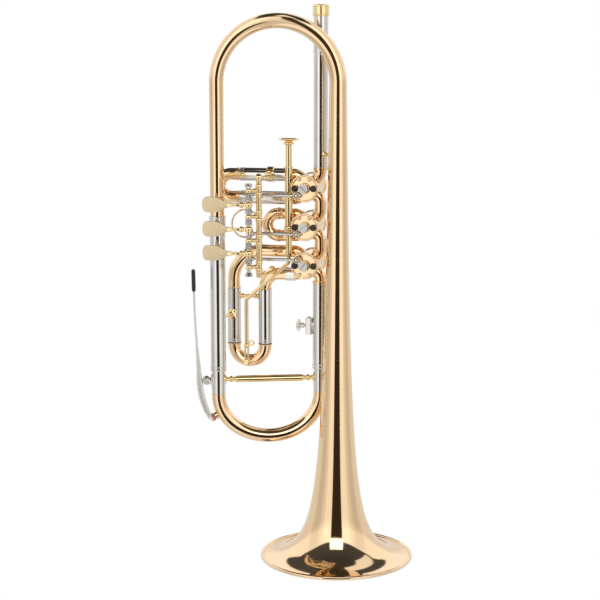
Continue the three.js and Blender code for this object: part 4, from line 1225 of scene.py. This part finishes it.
def stays():
    for name, tube in (("upper", LEG_RADIUS), ("lower", SLEEVE_RADIUS)):
        z = middle(f"bell_stay_{name}").z
        shape = Shape()
        stay(shape, lift(BELL, z), lift(LINE, z), bell_radius(z), tube, neck=1.6, spread=2.6)
        make(f"{name}_bell_stay", shape, YELLOW, stands_for=f"bell_stay_{name}")

    left = lift(middle("third_slide_sleeve_left"), 0)
    right = lift(middle("third_slide_sleeve_right"), 0)
    z = middle("third_slide_leg_stay").z
    shape = Shape()
    stay(shape, lift(LEG, z), lift(left, z), SLEEVE_RADIUS, 5.8, neck=1.6, spread=3.0, end_spread=4.8)
    make("third_slide_to_leg_stay", shape, YELLOW, stands_for="third_slide_leg_stay")

    z = middle("third_slide_brace").z
    shape = Shape()
    stay(shape, lift(left, z), lift(right, z), 5.8, 5.8, neck=1.5, spread=3.0, swell=1.9)
    for end, way in ((left, 1), (right, -1)):
        ball(shape, lift(end, z) + RIGHT * way * 8.2, 2.1)
    make("third_slide_cross_brace", shape, YELLOW, stands_for="third_slide_brace")

    z = middle("first_slide_leg_stay").z
    high = box("first_slide_leg_stay")[1]
    foot = Vector((high.x + 1.2, LINE.y, z))
    shape = Shape()
    top = foot + FRONT * 7.6
    way = (lift(LEG, z) - top).normalized()
    saddle(shape, foot, RIGHT, FRONT, 5.6, 3.2, 1.7, 2.2)
    ball(shape, top, 2.0)
    rod(shape, top, lift(LEG, z) - way * (LEG_RADIUS + 1.2), 1.5, 1.5)
    saddle(shape, lift(LEG, z), UP, -way, LEG_RADIUS, 3.2, 1.5, 2.0)
    make("first_slide_to_leg_stay", shape, YELLOW, stands_for="first_slide_leg_stay")


def round_corners(half_x, half_y, corner, steps=6):
    """Outline of a rectangle with round corners, about its centre."""
    points = []
    for quarter, (sx, sy) in enumerate(((1, 1), (-1, 1), (-1, -1), (1, -1))):
        for k in range(steps + 1):
            angle = math.pi / 2 * (quarter + k / steps)
            points.append((sx * (half_x - corner) + corner * math.cos(angle),
                           sy * (half_y - corner) + corner * math.sin(angle)))
    return points


def lyre_holder():
    low, high = box("lyre_socket")
    centre = (low + high) / 2
    size = high - low
    socket = Shape()

    def level(half_x, half_y, corner, z):
        return [(centre.x + x, centre.y + y, z) for x, y in round_corners(half_x, half_y, corner)]

    x, y = size.x / 2, size.y / 2
    rings = [level(x - 0.5, y - 0.5, 0.5, low.z), level(x, y, 1.0, low.z + 0.5),
             level(x, y, 1.0, high.z - 0.5), level(x - 0.5, y - 0.5, 0.5, high.z),
             level(x - 1.5, y - 2, 0.3, high.z), level(x - 1.5, y - 2, 0.3, low.z)]
    socket.skin(rings, looped=True)
    saddle(socket, lift(LINE, centre.z), UP, -RIGHT, SLEEVE_RADIUS, 4.6, 3.4, 1.3, tall=6.0)
    make("lyre_holder", socket, NICKEL, stands_for="lyre_socket")
    screw = Shape()
    start = Vector((box("lyre_thumbscrew")[0].x, centre.y, centre.z))
    profile = [(0, 0.5), (3.6, 0.2), (4.4, 0), (4.8, 0.4), (4.8, 2.1), (4.2, 2.5), (2.6, 2.9), (2.2, 3.4),
               (2.2, 6.1), (1.3, 6.4), (1.3, 9.3), (0, 9.5)]
    lathe(screw, rounded(profile, 0.25), start, RIGHT, 240, flutes=40, depth=0.4, band=(0.3, 2.3))
    make("lyre_screw_knob", screw, PALE, "lyre_screw", stands_for="lyre_thumbscrew")


# ---------------------------------------------------------------- stage

def emitting_dome(centre):
    """A room that only the metal sees: bright walls, a dark doorway behind the camera with a lamp panel
    above it, and a dark ceiling. Directions are measured from the middle of the room. The doorway sinks
    and the ceiling rises for the parts that stand higher."""
    material, tree = blank_material("room")

    def maths(operation, *values):
        return node(tree, "Math", dict(enumerate(values)), operation=operation).outputs[0]

    def ease(value, low, high, first, last):
        made = node(tree, "MapRange", {"Value": value, "From Min": low, "From Max": high, "To Min": first,
                                       "To Max": last}, interpolation_type="SMOOTHSTEP")
        return made.outputs[0]

    def between(value, low, high, soft):
        rise = ease(value, low - soft, low + soft, 0, 1)
        return maths("MULTIPLY", rise, ease(value, high - soft, high + soft, 1, 0))

    def past(value, low, soft):
        return ease(maths("SUBTRACT", value, low), -soft, soft, 0, 1)

    geometry = node(tree, "NewGeometry")
    place = geometry.outputs["Position"]
    view = geometry.outputs["Incoming"]
    away = node(tree, "VectorMath", {0: place, 1: centre}, operation="SUBTRACT").outputs[0]
    split = node(tree, "SeparateXYZ", {0: away})
    turn = math.radians(CAMERA_AZIMUTH)
    toward = maths("SUBTRACT", maths("MULTIPLY", split.outputs[0], math.sin(turn)),
                   maths("MULTIPLY", split.outputs[1], math.cos(turn)))
    across = maths("ADD", maths("MULTIPLY", split.outputs[0], math.cos(turn)),
                   maths("MULTIPLY", split.outputs[1], math.sin(turn)))
    azimuth = maths("DEGREES", maths("ARCTAN2", across, toward))
    level = maths("SQRT", maths("ADD", maths("MULTIPLY", toward, toward), maths("MULTIPLY", across, across)))
    elevation = maths("DEGREES", maths("ARCTAN2", split.outputs[2], level))
    wide = maths("ABSOLUTE", azimuth)
    travelled = node(tree, "LightPath").outputs["Ray Length"]
    seen_from = node(tree, "VectorMath", {0: view, 1: travelled, 2: place}, operation="MULTIPLY_ADD")
    height = node(tree, "SeparateXYZ", {0: seen_from.outputs[0]}).outputs[2]

    wall = ease(elevation, 2, 14, 0.80, 1.10)
    strip = maths("MULTIPLY", between(wide, 20, 50, 7), ease(height, 0.05, 0.35, 0.22, 0.42))
    dip = maths("MULTIPLY", between(wide, 66, 98, 9), -0.17)
    wall = maths("ADD", maths("ADD", wall, strip), maths("ADD", dip, ease(height, 0.36, 0.43, 0, -0.1)))
    edge = maths("ADD", ease(wide, 25, 100, 32, 40), ease(wide, 125, 155, 0, -13))
    edge = maths("ADD", edge, ease(height, 0.36, 0.43, 0, 28))
    above = ease(maths("SUBTRACT", elevation, edge), -1.2, 1.2, 0, 1)
    ceiling = ease(elevation, 40, 85, 0.07, 0.045)
    light = node(tree, "Mix", {0: above, 2: wall, 3: ceiling}).outputs[0]
    lintel = maths("ADD", ease(height, 0.05, 0.12, 25, 4),
                   maths("MULTIPLY", between(height, 0.22, 0.36, 0.03), 16))
    lintel = maths("ADD", lintel, ease(height, 0.37, 0.44, 0, 60))
    sill = ease(height, 0.36, 0.43, -40, -14)
    jamb = ease(height, 0.44, 0.456, 20, 8)
    doorway = maths("MULTIPLY", past(jamb, wide, 0.8), maths("MULTIPLY", past(elevation, sill, 1.0),
                                                             past(lintel, elevation, 1.0)))
    light = node(tree, "Mix", {0: doorway, 2: light, 3: ease(height, 0.36, 0.43, 0.035, 0.05)}).outputs[0]
    over = maths("SUBTRACT", elevation, lintel)
    panel = maths("MULTIPLY", between(wide, -1, 23, 0.8), between(over, 1, 24, 0.8))
    light = node(tree, "Mix", {0: panel, 2: light, 3: ease(height, 0.36, 0.43, 2.4, 1.0)}).outputs[0]
    lamp = maths("MULTIPLY", between(azimuth, 104, 172, 4), between(elevation, 43, 64, 2))
    light = node(tree, "Mix", {0: lamp, 2: light, 3: 0.95}).outputs[0]
    tint = mixed(tree, doorway, (1.0, 0.995, 0.985), (1.0, 0.75, 0.5))
    finish_material(tree, node(tree, "Emission", {"Color": tint, "Strength": light}))
    material.cycles.emission_sampling = "NONE"
    return material


def add_stage_mesh(name, work, material):
    """Turns a bmesh into something of the stage, which isn't part of the trumpet."""
    mesh = bpy.data.meshes.new(name)
    work.to_mesh(mesh)
    work.free()
    mesh.materials.append(material)
    item = bpy.data.objects.new(name, mesh)
    bpy.context.scene.collection.objects.link(item)
    return item


def room(centre):
    work = bmesh.new()
    bmesh.ops.create_uvsphere(work, u_segments=96, v_segments=48, radius=1.6)
    bmesh.ops.translate(work, verts=work.verts, vec=centre)
    dome_item = add_stage_mesh("room", work, emitting_dome(centre))
    dome_item.visible_camera = False
    dome_item.visible_shadow = False


def floor():
    """A white tabletop that carries only the soft shadow of whatever stands on it."""
    material, tree = blank_material("tabletop")
    shade = node(tree, "AmbientOcclusion", {"Distance": 0.05}, samples=12).outputs["AO"]
    light = node(tree, "MapRange", {"Value": shade, "From Min": 0.0, "From Max": 0.75, "To Min": 0.72,
                                    "To Max": 1.0}).outputs[0]
    glow = node(tree, "Emission", {"Strength": light}).outputs[0]
    clear = node(tree, "BsdfTransparent").outputs[0]
    below = node(tree, "NewGeometry").outputs["Backfacing"]
    finish_material(tree, node(tree, "MixShader", {0: below, 1: glow, 2: clear}))
    material.cycles.emission_sampling = "NONE"
    work = bmesh.new()
    bmesh.ops.create_grid(work, x_segments=1, y_segments=1, size=3)
    table = add_stage_mesh("tabletop", work, material)
    table.visible_glossy = False


def white_surroundings():
    world = bpy.data.worlds.new("surroundings")
    bpy.context.scene.world = world
    world.use_nodes = True
    background = world.node_tree.nodes["Background"]
    background.inputs["Color"].default_value = (1, 1, 1, 1)
    background.inputs["Strength"].default_value = 1.0


CAMERA_AZIMUTH = 13
CAMERA_ELEVATION = 9.17
CAMERA_DISTANCE = 1.3141


def camera(low, high):
    azimuth = math.radians(CAMERA_AZIMUTH)
    elevation = math.radians(CAMERA_ELEVATION)
    aim = (low + high) / 2 + Vector((-0.0041, 0, -0.0118))
    back = Vector((math.sin(azimuth) * math.cos(elevation), -math.cos(azimuth) * math.cos(elevation),
                   math.sin(elevation)))
    lens = bpy.data.cameras.new("camera")
    lens.lens = 93.2
    lens.sensor_width = 36
    item = bpy.data.objects.new("camera", lens)
    bpy.context.scene.collection.objects.link(item)
    item.location = aim + back * CAMERA_DISTANCE
    item.rotation_mode = "QUATERNION"
    item.rotation_quaternion = (-back).to_track_quat("-Z", "Y")
    bpy.context.scene.camera = item


# ---------------------------------------------------------------- assembly

bell()
bow_ferrule()
receiver()
leadpipe()
main_slide_sleeves()
main_slide()
water_key()
valve_knuckles()
first_slide()
second_slide()
third_slide()
trigger()
lever_rail()
lever_springs()
for number in NUMBERS:
    casing(number)
    front_plate(number)
    rear_cap(number)
    stop_arm(number)
    finger_lever(number)
    link(number)
    rotor = bpy.data.objects[f"rotor_{number}"]
    rotor.data.materials.clear()
    rotor.data.materials.append(NICKEL)
stays()
lyre_holder()

room((cad_low + cad_high) / 2)
floor()
white_surroundings()
camera(cad_low, cad_high)
bpy.context.scene.view_settings.view_transform = "Standard"
